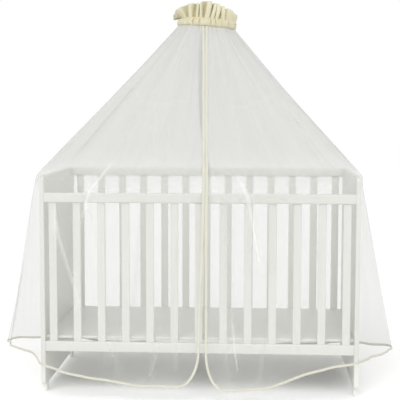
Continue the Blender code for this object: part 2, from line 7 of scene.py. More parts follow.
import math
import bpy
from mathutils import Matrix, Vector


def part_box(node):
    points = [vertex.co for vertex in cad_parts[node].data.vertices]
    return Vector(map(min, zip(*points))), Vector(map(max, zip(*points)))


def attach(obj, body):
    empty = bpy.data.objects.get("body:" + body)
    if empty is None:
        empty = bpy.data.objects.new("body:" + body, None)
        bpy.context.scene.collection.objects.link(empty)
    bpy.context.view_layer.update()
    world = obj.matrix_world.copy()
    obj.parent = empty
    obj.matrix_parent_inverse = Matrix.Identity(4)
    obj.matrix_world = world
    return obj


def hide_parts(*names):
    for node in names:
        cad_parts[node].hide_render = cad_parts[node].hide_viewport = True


bl_info = {
    "name": "Net Canopy",
    "version": (1, 0, 0),
    "blender": (4, 5, 0),
    "location": "3D View > Sidebar > Net Canopy",
    "description": "Sheer net gathered in a frilled heading, bound at its edges, over a cot",
    "category": "Add Mesh",
}

from collections import namedtuple

import bpy
import numpy as np
from bpy.props import FloatProperty, FloatVectorProperty, IntProperty, PointerProperty
from mathutils import Matrix, Vector

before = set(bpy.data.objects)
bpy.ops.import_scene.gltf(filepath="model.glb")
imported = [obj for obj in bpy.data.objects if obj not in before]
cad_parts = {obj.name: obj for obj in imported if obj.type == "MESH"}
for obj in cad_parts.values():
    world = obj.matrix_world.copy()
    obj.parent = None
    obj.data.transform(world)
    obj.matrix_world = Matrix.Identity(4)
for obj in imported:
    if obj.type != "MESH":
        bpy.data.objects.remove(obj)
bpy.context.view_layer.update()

LEFT_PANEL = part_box("end_panel_left")
RIGHT_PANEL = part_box("end_panel_right")
COT = Vector(((LEFT_PANEL[0].x + RIGHT_PANEL[1].x) / 2,
              (LEFT_PANEL[0].y + LEFT_PANEL[1].y) / 2, 0.0))     # floor under the cot's middle
BODY = "root"

# ------------------------------------------------------------------ the net's hang
# All of this is measured from the floor under the cot's middle.
RING = Vector((0.009, 0.060, 1.452))        # middle of the heading's lower edge
RING_TILT = math.radians(4.2)               # the right side hangs lower
NET_TOP_RADIUS = 0.116                      # the gathered top, inside the heading's band
NET_TOP_DROP = 0.001                        # from the heading's edge down to where it starts
SHOULDER = 0.5              # share of the drop at which the net bends over the cot's edge
HIP_SHARE = 0.08            # share of the drop below it in which the net swings out
ROUNDED_WIDTH = 0.074       # rounded lower front corners, along the hem
ROUNDED_HEIGHT = 0.124      # and up the front edge

# Guides round the net, from its left front edge by the left end and the back to its right
# front edge: degrees round the ring, where the net crosses the cot's edge, where it ends,
# how far it sags inwards above the edge and how far it stands out just below it.
Guide = namedtuple("Guide", "name turn x y z hem_x hem_y hem_z sag hip")
GUIDES = (
    Guide("left front edge",     5.8,  0.013, -0.337, 0.796, -0.005, -0.412, 0.060, .010, .004),
    Guide("left rounded end",   11.0, -0.070, -0.337, 0.796, -0.079, -0.416, 0.060, .010, .004),
    Guide("left panel",         24.0, -0.280, -0.337, 0.796, -0.240, -0.408, 0.066, .006, .004),
    Guide("left panel outer",   34.0, -0.440, -0.337, 0.800, -0.400, -0.412, 0.086, .002, .004),
    Guide("left slack",         44.0, -0.560, -0.338, 0.834, -0.530, -0.398, 0.116, .000, .006),
    Guide("left front corner",  51.0, -0.622, -0.339, 0.862, -0.622, -0.368, 0.136, .002, .012),
    Guide("left flare front",   56.0, -0.628, -0.325, 0.863, -0.678, -0.240, 0.146, .003, .022),
    Guide("left flare rise",    62.0, -0.628, -0.285, 0.863, -0.748, -0.110, 0.126, .000, .026),
    Guide("left flare tip",     69.0, -0.628, -0.220, 0.863, -0.842,  0.016, 0.118, -.002, .028),
    Guide("left flare fall",    82.0, -0.628, -0.080, 0.863, -0.856,  0.130, 0.108, -.004, .022),
    Guide("left end middle",    97.0, -0.628,  0.110, 0.863, -0.800,  0.230, 0.096, -.002, .014),
    Guide("left end back",     114.0, -0.628,  0.328, 0.863, -0.716,  0.335, 0.080, .006, .010),
    Guide("left back corner",  120.0, -0.622,  0.342, 0.862, -0.610,  0.404, 0.058, .008, .008),
    Guide("back left",         140.0, -0.400,  0.343, 0.862, -0.380,  0.424, 0.040, .004, .004),
    Guide("back left middle",  162.0, -0.160,  0.344, 0.862, -0.150,  0.412, 0.036, .004, .002),
    Guide("back right middle", 192.0,  0.170,  0.344, 0.862,  0.160,  0.422, 0.034, .004, .002),
    Guide("back right",        218.0,  0.410,  0.343, 0.862,  0.390,  0.410, 0.042, .006, .004),
    Guide("right back corner", 240.0,  0.619,  0.342, 0.862,  0.600,  0.400, 0.060, .014, .006),
    Guide("right end back",    246.0,  0.624,  0.328, 0.863,  0.668,  0.310, 0.084, .010, .004),
    Guide("right end middle",  262.0,  0.624,  0.110, 0.863,  0.732,  0.190, 0.098, .000, .002),
    Guide("right flare fall",  278.0,  0.624, -0.080, 0.863,  0.776,  0.090, 0.118, .002, .000),
    Guide("right flare tip",   290.0,  0.624, -0.220, 0.863,  0.784, -0.010, 0.127, .008, .000),
    Guide("right flare rise",  298.0,  0.624, -0.285, 0.863,  0.738, -0.120, 0.130, .012, .000),
    Guide("right flare front", 303.0,  0.624, -0.325, 0.863,  0.670, -0.246, 0.142, .014, .001),
    Guide("right front corner", 308.0, 0.619, -0.339, 0.862,  0.612, -0.372, 0.154, .015, .002),
    Guide("right slack",       315.0,  0.560, -0.338, 0.834,  0.540, -0.400, 0.150, .008, .003),
    Guide("right panel outer", 325.0,  0.440, -0.337, 0.800,  0.420, -0.414, 0.118, .004, .004),
    Guide("right panel",       336.0,  0.280, -0.337, 0.796,  0.260, -0.420, 0.066, .006, .004),
    Guide("right rounded end", 349.0,  0.110, -0.337, 0.796,  0.113, -0.434, 0.054, .010, .004),
    Guide("right front edge",  354.2,  0.037, -0.337, 0.796,  0.039, -0.424, 0.056, .010, .004),
)

# Soft hanging folds: place round the hem (0 to 1), width as the same share, depth outwards
# (inwards where negative) and the share of the drop at which each begins.
Fold = namedtuple("Fold", "name place width depth start")
FOLDS = (
    Fold("left panel crease",    0.050, 0.018,  0.014, 0.60),
    Fold("left panel hollow",    0.082, 0.024, -0.010, 0.62),
    Fold("left corner fold",     0.118, 0.016,  0.018, 0.52),
    Fold("left corner hollow",   0.160, 0.020, -0.007, 0.58),
    Fold("left end pleat",       0.190, 0.020,  0.007, 0.60),
    Fold("left tip back hollow", 0.262, 0.018, -0.020, 0.56),
    Fold("left back fold",       0.300, 0.020,  0.022, 0.54),
    Fold("back crease one",      0.372, 0.018,  0.020, 0.55),
    Fold("back hollow one",      0.408, 0.020, -0.014, 0.60),
    Fold("back crease two",      0.452, 0.022,  0.024, 0.53),
    Fold("back hollow two",      0.498, 0.020, -0.012, 0.60),
    Fold("back crease three",    0.540, 0.018,  0.020, 0.56),
    Fold("back crease four",     0.600, 0.022,  0.022, 0.54),
    Fold("right back hollow",    0.690, 0.018, -0.014, 0.56),
    Fold("right tip back fold",  0.728, 0.016,  0.016, 0.55),
    Fold("right end hollow",     0.820, 0.018, -0.012, 0.58),
    Fold("right corner fold",    0.872, 0.016,  0.016, 0.52),
    Fold("right panel hollow",   0.912, 0.022, -0.010, 0.60),
    Fold("right panel crease",   0.944, 0.018,  0.018, 0.56),
)

# Creases, from the ring down: places on the cloth (share of the hem, share of the
# drop), half width at the first and the last place, height, and layers of net added there.
Crease = namedtuple("Crease", "name path wide to_wide height layers")
CREASES = (
    Crease("left crossing fold", ((.083, .41), (.087, .47), (.092, .53), (.101, .61)),
           .011, .004, .003, 1.0),
    Crease("left short crossing", ((.095, .51), (.087, .58)), .005, .004, .002, 0.6),
    Crease("left slack fold", ((.126, .56), (.122, .64), (.105, .79), (.103, .84)),
           .012, .006, .004, 0.9),
    Crease("left pressed line", ((.140, .235), (.115, .215), (.079, .24), (.053, .24), (.011, .23)),
           .007, .005, .0015, 0.35),
    Crease("left pressed rise", ((.014, .235), (.003, .17)), .005, .004, .0015, 0.3),
    Crease("left fall one", ((.062, .25), (.037, .42)), .008, .012, .002, 0.35),
    Crease("left fall two", ((.040, .27), (.029, .42)), .010, .008, .002, 0.30),
    Crease("left fall three", ((.088, .24), (.072, .42)), .012, .010, .002, 0.30),
    Crease("left neck fold", ((.091, .02), (.060, .14)), .010, .016, .002, 0.35),
    Crease("left corner pull", ((.118, .24), (.130, .36), (.146, .49)), .020, .014, .002, 0.2),
    Crease("left end pull", ((.196, .12), (.186, .30), (.176, .48)), .018, .014, .002, 0.2),
    Crease("left hem fold", ((.058, .82), (.087, .99)), .008, .014, .0012, 0.4),
    Crease("left middle hem fold", ((.0295, .84), (.036, .93), (.044, 1.00)),
           .008, .014, .0014, 0.60),
    Crease("left outer hem fold", ((.077, .88), (.068, 1.00)), .012, .020, .0010, 0.50),
    Crease("left inner hem fold", ((.0175, .87), (.0195, .97)), .006, .008, .0015, 0.50),
    Crease("left flare ridge", ((.205, .54), (.212, .75), (.214, .98)), .014, .018, .003, 0.1),
    Crease("left edge fold", ((.013, .50), (.020, .70), (.022, .90)), .006, .010, .002, 0.45),
    Crease("back left pull", ((.352, .16), (.342, .48)), .014, .010, .005, 0.5),
    Crease("back left drop", ((.330, .54), (.352, .96)), .008, .014, .006, 0.6),
    Crease("back middle pull", ((.470, .10), (.452, .48)), .012, .012, .003, 0.4),
    Crease("back middle drop", ((.452, .53), (.430, .97)), .010, .016, .005, 0.5),
    Crease("back right pull", ((.648, .16), (.655, .48)), .014, .010, .005, 0.5),
    Crease("back right drop", ((.640, .54), (.622, .94)), .008, .014, .006, 0.6),
    Crease("right end pull", ((.820, .14), (.838, .48)), .014, .008, .004, 0.4),
    Crease("right flare ridge", ((.786, .53), (.778, .98)), .012, .018, .003, 0.1),
    Crease("right cone fold", ((.863, .24), (.872, .32), (.876, .40), (.866, .47)),
           .030, .020, .0, 0.45),
    Crease("right cone crease", ((.868, .25), (.877, .32), (.885, .40), (.882, .45)),
           .006, .005, .004, 0.5),
    Crease("right pressed line", ((.970, .25), (.943, .25), (.908, .23), (.871, .22)),
           .006, .007, .0015, 0.3),
    Crease("right neck fold", ((.930, .04), (.960, .23), (.968, .42)), .014, .010, .002, 0.4),
    Crease("right side fall", ((.915, .10), (.930, .24), (.938, .44)), .012, .014, .002, 0.3),
    Crease("right crossing fold", ((.975, .44), (.968, .51), (.960, .63), (.953, .73)),
           .010, .004, .004, 0.95),
    Crease("right second fold", ((.979, .45), (.975, .49), (.972, .53)), .012, .010, .003, 0.6),
    Crease("right middle fold", ((.982, .50), (.981, .62), (.979, .89)), .016, .012, .003, 0.6),
    Crease("right inner hem fold", ((.9835, .82), (.9820, 1.00)), .012, .018, .0014, 0.50),
    Crease("right outer hem fold", ((.9485, .85), (.9545, 1.00)), .009, .012, .0014, 0.60),
    Crease("right lower fold", ((.979, .80), (.976, .90), (.972, .97)), .005, .004, .003, 1.0),
    Crease("right edge fold", ((.988, .46), (.985, .60), (.984, .72)), .008, .006, .002, 0.4),
    Crease("right hem fold", ((.930, .78), (.915, .97)), .010, .014, .0015, 0.4),
    Crease("right panel haze", ((.958, .46), (.956, .60), (.952, .76)), .13, .08, .0, 0.35),
)

# Faint waves in the cloth, and the hem's flutter: how many round the hem, phase and height.
SOFT_WAVES = ((13, 0.9, 0.0030), (29, 0.3, 0.0016), (61, 2.1, 0.0004))
FLUTTER = ((11, 1.1, 0.0014), (23, 0.2, 0.0010), (47, 3.0, 0.0004))
DROP = 1.50                 # metres from the ring to the hem, for the creases' slopes

# Shares of the hem: the two front panels, where the mesh's columns lie closer, and the back,
# where they lie wider, and by how much.
FRONT_PANEL = 0.17
BACK_START = 0.34
BACK_END = 0.67
PANEL_FADE = 0.04
FRONT_CROWD = 1.4
BACK_THIN = 0.45
CORNER_COLUMNS = 25         # round each of the two lower corners

# How many layers of flat net hang over each other: on the skirt, more of them on the cone, where
# the gathers lie close, more where the cloth is drawn together, and more on each gather.
SKIRT_LAYERS = 0.92
CONE_LAYERS = 1.23
BUNCH_LAYERS = 0.35
GATHER_LAYERS = 0.55
CONE_END = 0.56             # share of the drop where the cone's layers have gone
CONE_FADE = 0.14
GATHERS_END = 0.52          # share of the drop where the last gathers lie flat
LIT_LAYERS = 0.7            # a crease of more layers than this gets a painted highlight
# how strongly that highlight is painted along such a crease
LIT_SHARE = 0.6

# ------------------------------------------------------------------ the heading's make
BAND_HEIGHT = 0.031         # casing band, up to the shirring line
SHIRR_RADIUS = 0.108        # where the shirring draws it in
CASING_LIP_RADIUS = 0.104   # the casing's lip, turned up behind the hoop
CASING_LIP_HEIGHT = 0.0075
HEADING_CLOTH = 0.0025      # doubled cotton, turned in and gathered in the band
FRILL_CLOTH = 0.0015        # doubled cotton
FILLED_WAIST = 0.011        # most that the drawn-in waist fills out at the right
FRILL_SIDE = 0.031          # frill height at the two sides
FRILL_FRONT = 0.065         # and at the front and back
FRILL_LEAN_FRONT = math.radians(6)
FRILL_LEAN_LEFT = math.radians(86)      # the left side flops outwards and down
FRILL_LEAN_RIGHT = math.radians(14)

# Frill pleats as they stand in the photo, and as unevenly at the back: where the hollow lies,
# half its width at the foot and at the top (degrees round the ring), how deep it goes, how far
# the top edge dips there, how far the pleat after it comes out, how much that pleat's top stands
# above the others (metres) and how far it turns to the side (degrees).
Pleat = namedtuple("Pleat", "hollow foot top depth dip crest lift sway")
PLEATS = (
    Pleat(5.5, 2.6, 5.6, 1.10, .0000, 0.90, .0010, -1.0),
    Pleat(15.5, 2.2, 0.8, 0.80, .0110, 0.90, .0000, -1.5),
    Pleat(27.5, 5.0, 6.2, 1.20, .0005, 0.90, .0005, -2.0),
    Pleat(45.5, 3.4, 9.5, 1.20, .0010, 0.70, .0010, 5.0),
    Pleat(68.0, 3.0, 3.5, -0.25, .0020, 0.60, .0020, 2.0),
    Pleat(86.0, 3.0, 4.5, 0.10, .0030, 0.80, .0000, -2.0),
    Pleat(99.0, 2.0, 3.5, 0.90, .0020, 1.00, .0020, 2.0),
    Pleat(119.0, 3.5, 5.0, 1.20, .0010, 0.90, .0000, -1.5),
    Pleat(137.0, 2.0, 2.5, 0.90, .0060, 1.00, .0010, 1.0),
    Pleat(154.0, 3.0, 5.0, 1.20, .0010, 0.80, .0005, -1.0),
    Pleat(173.0, 3.5, 5.5, 1.30, .0000, 1.00, .0010, 2.0),
    Pleat(192.0, 1.5, 1.5, 0.90, .0080, 0.90, .0000, -1.0),
    Pleat(208.0, 3.5, 5.5, 1.30, .0005, 1.00, .0010, 1.5),
    Pleat(229.0, 2.0, 3.0, 0.80, .0030, 0.90, .0000, -2.0),
    Pleat(246.0, 3.0, 5.0, 1.20, .0010, 1.00, .0010, 1.0),
    Pleat(268.0, 2.0, 3.0, 0.40, .0030, 0.40, -.0010, 1.0),
    Pleat(292.0, 3.5, 5.0, -0.15, .0035, 0.45, .0010, -3.0),
    Pleat(316.0, 1.5, 5.0, 0.45, .0035, 0.45, .0010, -3.0),
    Pleat(330.0, 5.0, 0.1, 1.20, .0040, 0.60, .0010, -5.0),
    Pleat(341.5, 2.2, 0.1, 0.70, .0015, 0.70, .0005, -5.0),
    Pleat(351.8, 1.9, 2.6, 0.75, .0010, 0.90, .0005, -7.0),
)

# Fine gathers of the band: how many round the ring, size and phase.
FINE_GATHERS = ((73, 1.0, 0.0), (101, 0.6, 1.0), (47, 0.5, 2.0))

# Deeper tucks in the shirred band: place, in degrees round the ring, and depth.
Tuck = namedtuple("Tuck", "turn depth")
TUCKS = (Tuck(12, .0019), Tuck(25.6, .0021), Tuck(38, .0006), Tuck(58, .0009), Tuck(83, .0015),
         Tuck(104, .0020), Tuck(131, .0016), Tuck(158, .0019), Tuck(171, .0014), Tuck(199, .0020),
         Tuck(223, .0016), Tuck(247, .0019), Tuck(268, .0014), Tuck(286, .0018), Tuck(311, .0015),
         Tuck(327, .0012), Tuck(339.6, .0013), Tuck(350, .0018))
TUCK_WIDTH = 1.6            # half a tuck's width, in degrees
TUCK_SHADE = 430            # how much painted shade, in the deep colour, each metre of a tuck's depth adds
WEAVE_ROUND = 1.30          # metres of weave that are drawn round the ring

# ------------------------------------------------------------------ camera, in the cot's frame
CAMERA_PLACE = Vector((0.2235, -4.2124, 1.1027))
CAMERA_YAW = math.radians(3.223)        # to the left
CAMERA_PITCH = math.radians(4.949)      # down
CAMERA_ROLL = math.radians(0.105)
SENSOR = 36.0
LENS = 91.48


def linear(hex_colour):
    """sRGB hex to the linear colour that a shader takes."""
    out = []
    for i in (0, 2, 4):
        c = int(hex_colour[i:i + 2], 16) / 255
        out.append(c / 12.92 if c <= 0.04045 else ((c + 0.055) / 1.055) ** 2.4)
    return (*out, 1.0)


# ------------------------------------------------------------------ what a user would change
def colour_property(name, description, hex_colour):
    return FloatVectorProperty(name=name, description=description, subtype="COLOR", size=4,
                               min=0.0, max=1.0, default=linear(hex_colour))


class NetSettings(bpy.types.PropertyGroup):
    columns: IntProperty(name="Columns", description="Columns of the net's mesh", default=740,
                         min=100)
    rows: IntProperty(name="Rows", description="Rows of the net's mesh", default=132, min=30)
    gathers: IntProperty(name="Gathers", description="Gathers round the ring", default=62)
    gather_depth: FloatProperty(name="Gather depth", description="Height of a gather at the ring",
                                default=0.0018, unit="LENGTH")
    cover: FloatProperty(name="Cover", description="Share of the flat net that is yarn",
                         default=0.26, min=0.0, max=1.0, subtype="FACTOR")
    colour: colour_property("Yarn colour", "Colour of the net's yarn", "C6C6C3")
    shade: colour_property("Streak colour", "Colour where the net bunches", "C0C0BC")
    # colour of the highlight painted along the thickest creases
    lit: colour_property("Crease colour", "Colour where folds catch the light", "E6E6E2")
    mesh_pitch: FloatProperty(name="Mesh pitch", description="From hole to hole, as drawn",
                              default=0.0030, unit="LENGTH")


class TrimSettings(bpy.types.PropertyGroup):
    width: FloatProperty(name="Width", description="Width of the binding", default=0.0102,
                         unit="LENGTH")
    thickness: FloatProperty(name="Thickness", description="Binding over the net's edge",
                             default=0.0030, unit="LENGTH")
    colour: colour_property("Tape colour", "Colour of the binding", "CBC9BB")
    stitch_pitch: FloatProperty(name="Stitch", description="Length of one stitch",
                                default=0.0040, unit="LENGTH")


class HeadingSettings(bpy.types.PropertyGroup):
    columns_a_pleat: IntProperty(name="Columns a pleat", description="Mesh columns in a pleat",
                                 default=26, min=8)
    pleat_depth: FloatProperty(name="Pleat depth", description="Half depth at the frill's top",
                               default=0.0118, unit="LENGTH")
    colour: colour_property("Cotton colour", "Colour of the heading", "CFCAB0")
    # colour of the shade painted into the pleats' hollows and the band's tucks
    deep: colour_property("Cotton in the pleats", "Colour deep in the pleats", "A0966A")
    weave_pitch: FloatProperty(name="Weave", description="Thread to thread, as drawn",
                               default=0.0012, unit="LENGTH")


class CotSettings(bpy.types.PropertyGroup):
    paint: colour_property("Paint", "Colour of the painted wood", "DADBD5")
    pole: colour_property("Pole", "Colour of the powder coat", "BDBEBE")
    plastic: colour_property("Plastic", "Colour of the feet and the knob", "E9E9E4")


class StudioSettings(bpy.types.PropertyGroup):
    floor: colour_property("Floor", "Colour of the floor", "FFFFFF")
    sky: FloatProperty(name="Surround", description="Strength of the white surround", default=1.0)
    key: FloatProperty(name="Key light", description="Strength of the soft key light",
                       default=1.45)


# ------------------------------------------------------------------ helpers
def feed(tree, target, inputs):
    """Fills a node's inputs; each value is another node's output or a plain value."""
    for name, value in inputs.items():
        if isinstance(value, bpy.types.NodeSocket):
            tree.links.new(value, target.inputs[name])
        else:
            target.inputs[name].default_value = value


def node(tree, kind, inputs=None, **settings):
    """Adds a shader node with its settings and its inputs."""
    made = tree.nodes.new(kind)
    for name, value in settings.items():
        setattr(made, name, value)
    feed(tree, made, inputs or {})
    return made


def bands(pitch):
    """The scale at which a wave texture's bands lie a pitch apart."""
    return math.pi / 10 / pitch


def new_material(name):
    made = bpy.data.materials.new(name)
    made.use_nodes = True
    return made, made.node_tree, made.node_tree.nodes["Principled BSDF"]


def deselect():
    if bpy.context.object and bpy.context.object.mode != "OBJECT":
        bpy.ops.object.mode_set(mode="OBJECT")
    bpy.ops.object.select_all(action="DESELECT")


def make_active(piece):
    deselect()
    piece.select_set(True)
    bpy.context.view_layer.objects.active = piece


def dress(piece, material, nodes):
    """Gives a finished piece its material, its body and the nodes it stands for."""
    piece.data.materials.clear()
    piece.data.materials.append(material)
    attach(piece, BODY)
    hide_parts(*nodes)


def mesh_piece(name, points, faces, uv, **values):
    """A smooth mesh from arrays, with a uv pair and any further values for each of its points."""
    mesh = bpy.data.meshes.new(name)
    mesh.from_pydata([tuple(p) for p in points.reshape(-1, 3)], [], faces)
    mesh.update()
    layer = mesh.uv_layers.new(name="cloth")
    corner_points = np.zeros(len(mesh.loops), int)
    mesh.loops.foreach_get("vertex_index", corner_points)
    layer.data.foreach_set("uv", uv.reshape(-1, 2)[corner_points].ravel())
    for key, value in values.items():
        attribute = mesh.attributes.new(key, "FLOAT", "POINT")
        attribute.data.foreach_set("value", value.ravel())
    piece = bpy.data.objects.new(name, mesh)
    bpy.context.scene.collection.objects.link(piece)
    mesh.shade_smooth()
    return piece


def grid_faces(columns, rows):
    """Quads of a grid of points that is stored column by column."""
    faces = []
    for i in range(columns - 1):
        a = i * rows
        b = a + rows
        for j in range(rows - 1):
            faces.append((a + j, a + j + 1, b + j + 1, b + j))
    return faces


def tube_faces(sections, sides, closed):
    """Quads from outline to outline of a tube; where it is closed, the last meets the first."""
    faces = []
    for i in range(sections if closed else sections - 1):
        here = i * sides
        there = (i + 1) % sections * sides
        for k in range(sides):
            after = (k + 1) % sides
            faces.append((here + k, there + k, there + after, here + after))
    return faces


def unit(vectors):
    return vectors / np.maximum(np.linalg.norm(vectors, axis=-1, keepdims=True), 1e-12)


def ease(t):
    """0 up to t = 0 and 1 from t = 1, with a smooth rise between."""
    t = np.clip(t, 0.0, 1.0)
    return t * t * (3 - 2 * t)


def through(a, b, c, d, t):
    """A Catmull-Rom curve past four places, from b (t is 0) to c (t is 1)."""
    return 0.5 * (2 * b + (c - a) * t + (2 * a - 5 * b + 4 * c - d) * t * t
                  + (3 * b - a - 3 * c + d) * t ** 3)


def on_ring(turn, radius, height):
    """Points in the tilted ring's own frame; turn is in degrees from the front, by the left."""
    angle = np.radians(turn)
    x = -radius * np.sin(angle)
    y = -radius * np.cos(angle)
    return np.stack((COT.x + RING.x + x * math.cos(RING_TILT) + height * math.sin(RING_TILT),
                     COT.y + RING.y + y + 0 * height,
                     RING.z - x * math.sin(RING_TILT) + height * math.cos(RING_TILT)), axis=-1)


# ------------------------------------------------------------------ net
class Drape:
    """The hanging net as arrays: points[column, row], from the ring down to the hem."""

    def __init__(self, settings):
        self.settings = settings
        self.table = np.array([guide[1:] for guide in GUIDES])
        self.guide_places = np.arange(len(GUIDES), dtype=float)
        self.place_columns()
        self.place_rows()
        self.points = self.base()
        self.fine_folds()

    def straight(self, column):
        return np.interp(self.place, self.guide_places, self.table[:, column])

    def smooth(self, place, column):
        """A smooth curve through one column of the guides."""
        last = len(GUIDES) - 1
        i = np.clip(place.astype(int), 0, last - 1)
        t = place - i
        return through(*(self.table[np.clip(i + n, 0, last), column] for n in (-1, 0, 1, 2)), t)

    def hem(self, place):
        return np.stack([self.smooth(place, column) for column in (4, 5, 6)], axis=-1)

    def place_columns(self):
        """Columns along the hem: closer in front, and closest at the two rounded corners."""
        dense = np.linspace(0, len(GUIDES) - 1, 6000)
        steps = np.linalg.norm(np.diff(self.hem(dense), axis=0), axis=1)
        run = np.concatenate(([0.0], np.cumsum(steps)))
        self.length = run[-1]
        bend = ROUNDED_WIDTH * (1 - np.cos(np.linspace(0, math.pi / 2, CORNER_COLUMNS)))
        share = run / self.length
        front = ease((FRONT_PANEL - np.minimum(share, 1 - share)) / PANEL_FADE)
        back = ease((share - BACK_START) / PANEL_FADE) * ease((BACK_END - share) / PANEL_FADE)
        closeness = 1 + FRONT_CROWD * front - BACK_THIN * back
        crowd = np.concatenate(([0.0], np.cumsum(closeness[1:] * steps)))
        ends = np.interp((ROUNDED_WIDTH, self.length - ROUNDED_WIDTH), run, crowd)
        middle = np.interp(np.linspace(*ends, self.settings.columns - 2 * len(bend) + 2),
                           crowd, run)
        self.run = np.concatenate((bend, middle[1:-1], self.length - bend[::-1]))
        self.place = np.interp(self.run, run, dense)
        self.share = self.run / self.length

    def place_rows(self):
        """Rows down the drop, closer at the ring and over the cot's edge."""
        rows = self.settings.rows
        even = np.linspace(0, 1, rows)
        crowd = 1 + 1.6 * np.exp(-((even - SHOULDER) / 0.035) ** 2) + 1.2 * np.exp(-even / 0.05)
        down = np.concatenate(([0.0], np.cumsum((1 / crowd[1:] + 1 / crowd[:-1]) / 2)))
        self.drop = down / down[-1]

    def base(self):
        """Ring to the cot's edge, edge to the hem, with the soft hanging folds."""
        top = on_ring(self.straight(0), NET_TOP_RADIUS, -NET_TOP_DROP)
        cot = np.array(COT)
        edge = np.stack([self.straight(c) for c in (1, 2, 3)], axis=-1) + cot
        hem = self.hem(self.place) + cot
        along = np.gradient(hem, axis=0)
        along[:, 2] = 0
        along = unit(along)
        self.outward = np.stack((-along[:, 1], along[:, 0], 0 * along[:, 0]), axis=-1)
        ring_middle = np.array(COT + RING)
        inward = ring_middle - edge
        inward[:, 2] = 0
        inward = unit(inward)

        edge_run = np.minimum(self.run, self.length - self.run)
        across = np.clip(1 - edge_run / ROUNDED_WIDTH, 0, 1)
        rise = ROUNDED_HEIGHT * (1 - np.sqrt(1 - across ** 2))
        end = 1 - (1 - SHOULDER) * rise / np.linalg.norm(hem - edge, axis=1)

        share = np.repeat(self.drop[None, :], len(self.run), axis=0)
        below = share > SHOULDER
        stretched = SHOULDER + (share - SHOULDER) * (end[:, None] - SHOULDER) / (1 - SHOULDER)
        share = np.where(below, stretched, share)
        self.level = share

        t = np.clip(share / SHOULDER, 0, 1)[..., None]
        sag = (self.straight(7)[:, None] * 4 * t[..., 0] * (1 - t[..., 0]))[..., None]
        cone = top[:, None] * (1 - t) + edge[:, None] * t + inward[:, None] * sag
        t = np.clip((share - SHOULDER) / (1 - SHOULDER), 0, 1)
        hip = self.straight(8)[:, None] * (1 - np.exp(-t / HIP_SHARE)) * (1 - t)
        out = hip + self.hanging_folds(share)
        t = t[..., None]
        skirt = edge[:, None] * (1 - t) + hem[:, None] * t + self.outward[:, None] * out[..., None]
        return np.where(below[..., None], skirt, cone)

    def hanging_folds(self, share):
        """How far the soft folds stand out at each share of the drop."""
        depth = np.zeros_like(share)
        for fold in FOLDS:
            off = (self.share - fold.place) / fold.width
            bump = np.where(np.abs(off) < 1, 0.5 + 0.5 * np.cos(math.pi * off), 0)
            depth += fold.depth * bump[:, None] * ease((share - fold.start) / (1 - fold.start))
        return depth

    def normals(self):
        """Ways out of the cloth, all to one side of it."""
        along = np.gradient(self.points, axis=0)
        down = np.gradient(self.points, axis=1)
        return unit(np.cross(down, along))

    def fine_folds(self):
        """Gathers below the ring, the listed creases, and small unevenness down to the hem."""
        normal = self.normals()
        outwards = np.sign((normal * (self.points - np.array(COT + RING))).sum(-1).mean())
        normal *= outwards
        spread = np.linalg.norm(np.gradient(self.points, axis=0), axis=-1)
        spread = spread / np.maximum(np.gradient(self.run)[:, None], 1e-9)
        self.bunch = np.clip(1 / np.maximum(spread, 1e-3), 1, 8)

        s = self.share[:, None]
        level = self.level
        turns = (self.settings.gathers * s + 0.30 * np.sin(2 * math.pi * 11 * s)
                 + 0.22 * np.sin(2 * math.pi * 29 * s + 1.3))
        # a number from 0 to 1 for each gather that looks drawn by lot and never changes
        chance = np.mod(np.sin(np.floor(turns) * 12.9898) * 43758.5453, 1.0)
        reach = 0.05 + 0.20 * chance ** 2       # a few gathers run far down, most are short
        bump = 0.5 - 0.5 * np.cos(2 * math.pi * turns)
        gather = bump * (0.45 + 0.55 * chance) * np.exp(-level / reach)
        depth = self.settings.gather_depth * gather * ease(1 - level / GATHERS_END)

        clear = 1 - 0.85 * np.exp(-((level - SHOULDER) / 0.04) ** 2)   # it lies on the cot's edge
        self.doubled = GATHER_LAYERS * gather
        # painted highlight along the thickest creases, kept as the net's fold value
        self.folded = 0 * level
        for crease in CREASES:
            ridge = self.ridge(crease)
            depth = depth + crease.height * ridge * clear
            self.doubled = self.doubled + crease.layers * ridge
            self.folded = self.folded + LIT_SHARE * ridge * (crease.layers > LIT_LAYERS)

        soft = clear * ease(level / 0.3) / self.bunch
        for count, phase, height in SOFT_WAVES:
            depth = depth + height * soft * np.sin(2 * math.pi * count * s + phase + 2 * level)
        low = np.clip((level - 0.6) / 0.4, 0, 1) ** 1.5      # the hem flutters most
        for count, phase, height in FLUTTER:
            depth = depth + height * low * np.sin(2 * math.pi * count * s + phase)
        self.points = self.points + normal * depth[..., None]
        self.normal = self.normals() * outwards

    def ridge(self, crease):
        """1 along the crease's line and 0 away from it, measured on the cloth."""
        across = self.length / self.bunch
        at_x = self.share[:, None]
        near = np.full_like(self.level, 1e9)
        along = np.zeros_like(self.level)
        count = len(crease.path) - 1
        for n, (a, b) in enumerate(zip(crease.path, crease.path[1:])):
            step = np.stack(((b[0] - a[0]) * across, np.full_like(across, (b[1] - a[1]) * DROP)))
            off = np.stack(((at_x - a[0]) * across, (self.level - a[1]) * DROP))
            t = np.clip((step * off).sum(0) / (step * step).sum(0), 0, 1)
            apart = np.linalg.norm(off - t * step, axis=0)
            along = np.where(apart < near, (n + t) / count, along)
            near = np.minimum(near, apart)
        wide = crease.wide + (crease.to_wide - crease.wide) * along
        fade = ease(along / 0.25 + 0.1) * ease((1 - along) / 0.25 + 0.1)     # at both ends
        return np.exp(-(near / wide) ** 2) * fade

    def lengths(self):
        """Metres along the hem and down the drop at each point: the cloth's own coordinates."""
        steps = np.linalg.norm(np.diff(self.points, axis=1), axis=-1)
        down = np.concatenate((np.zeros((len(self.run), 1)), np.cumsum(steps, axis=1)), axis=1)
        return np.stack((np.repeat(self.run[:, None], down.shape[1], axis=1), down), axis=-1)


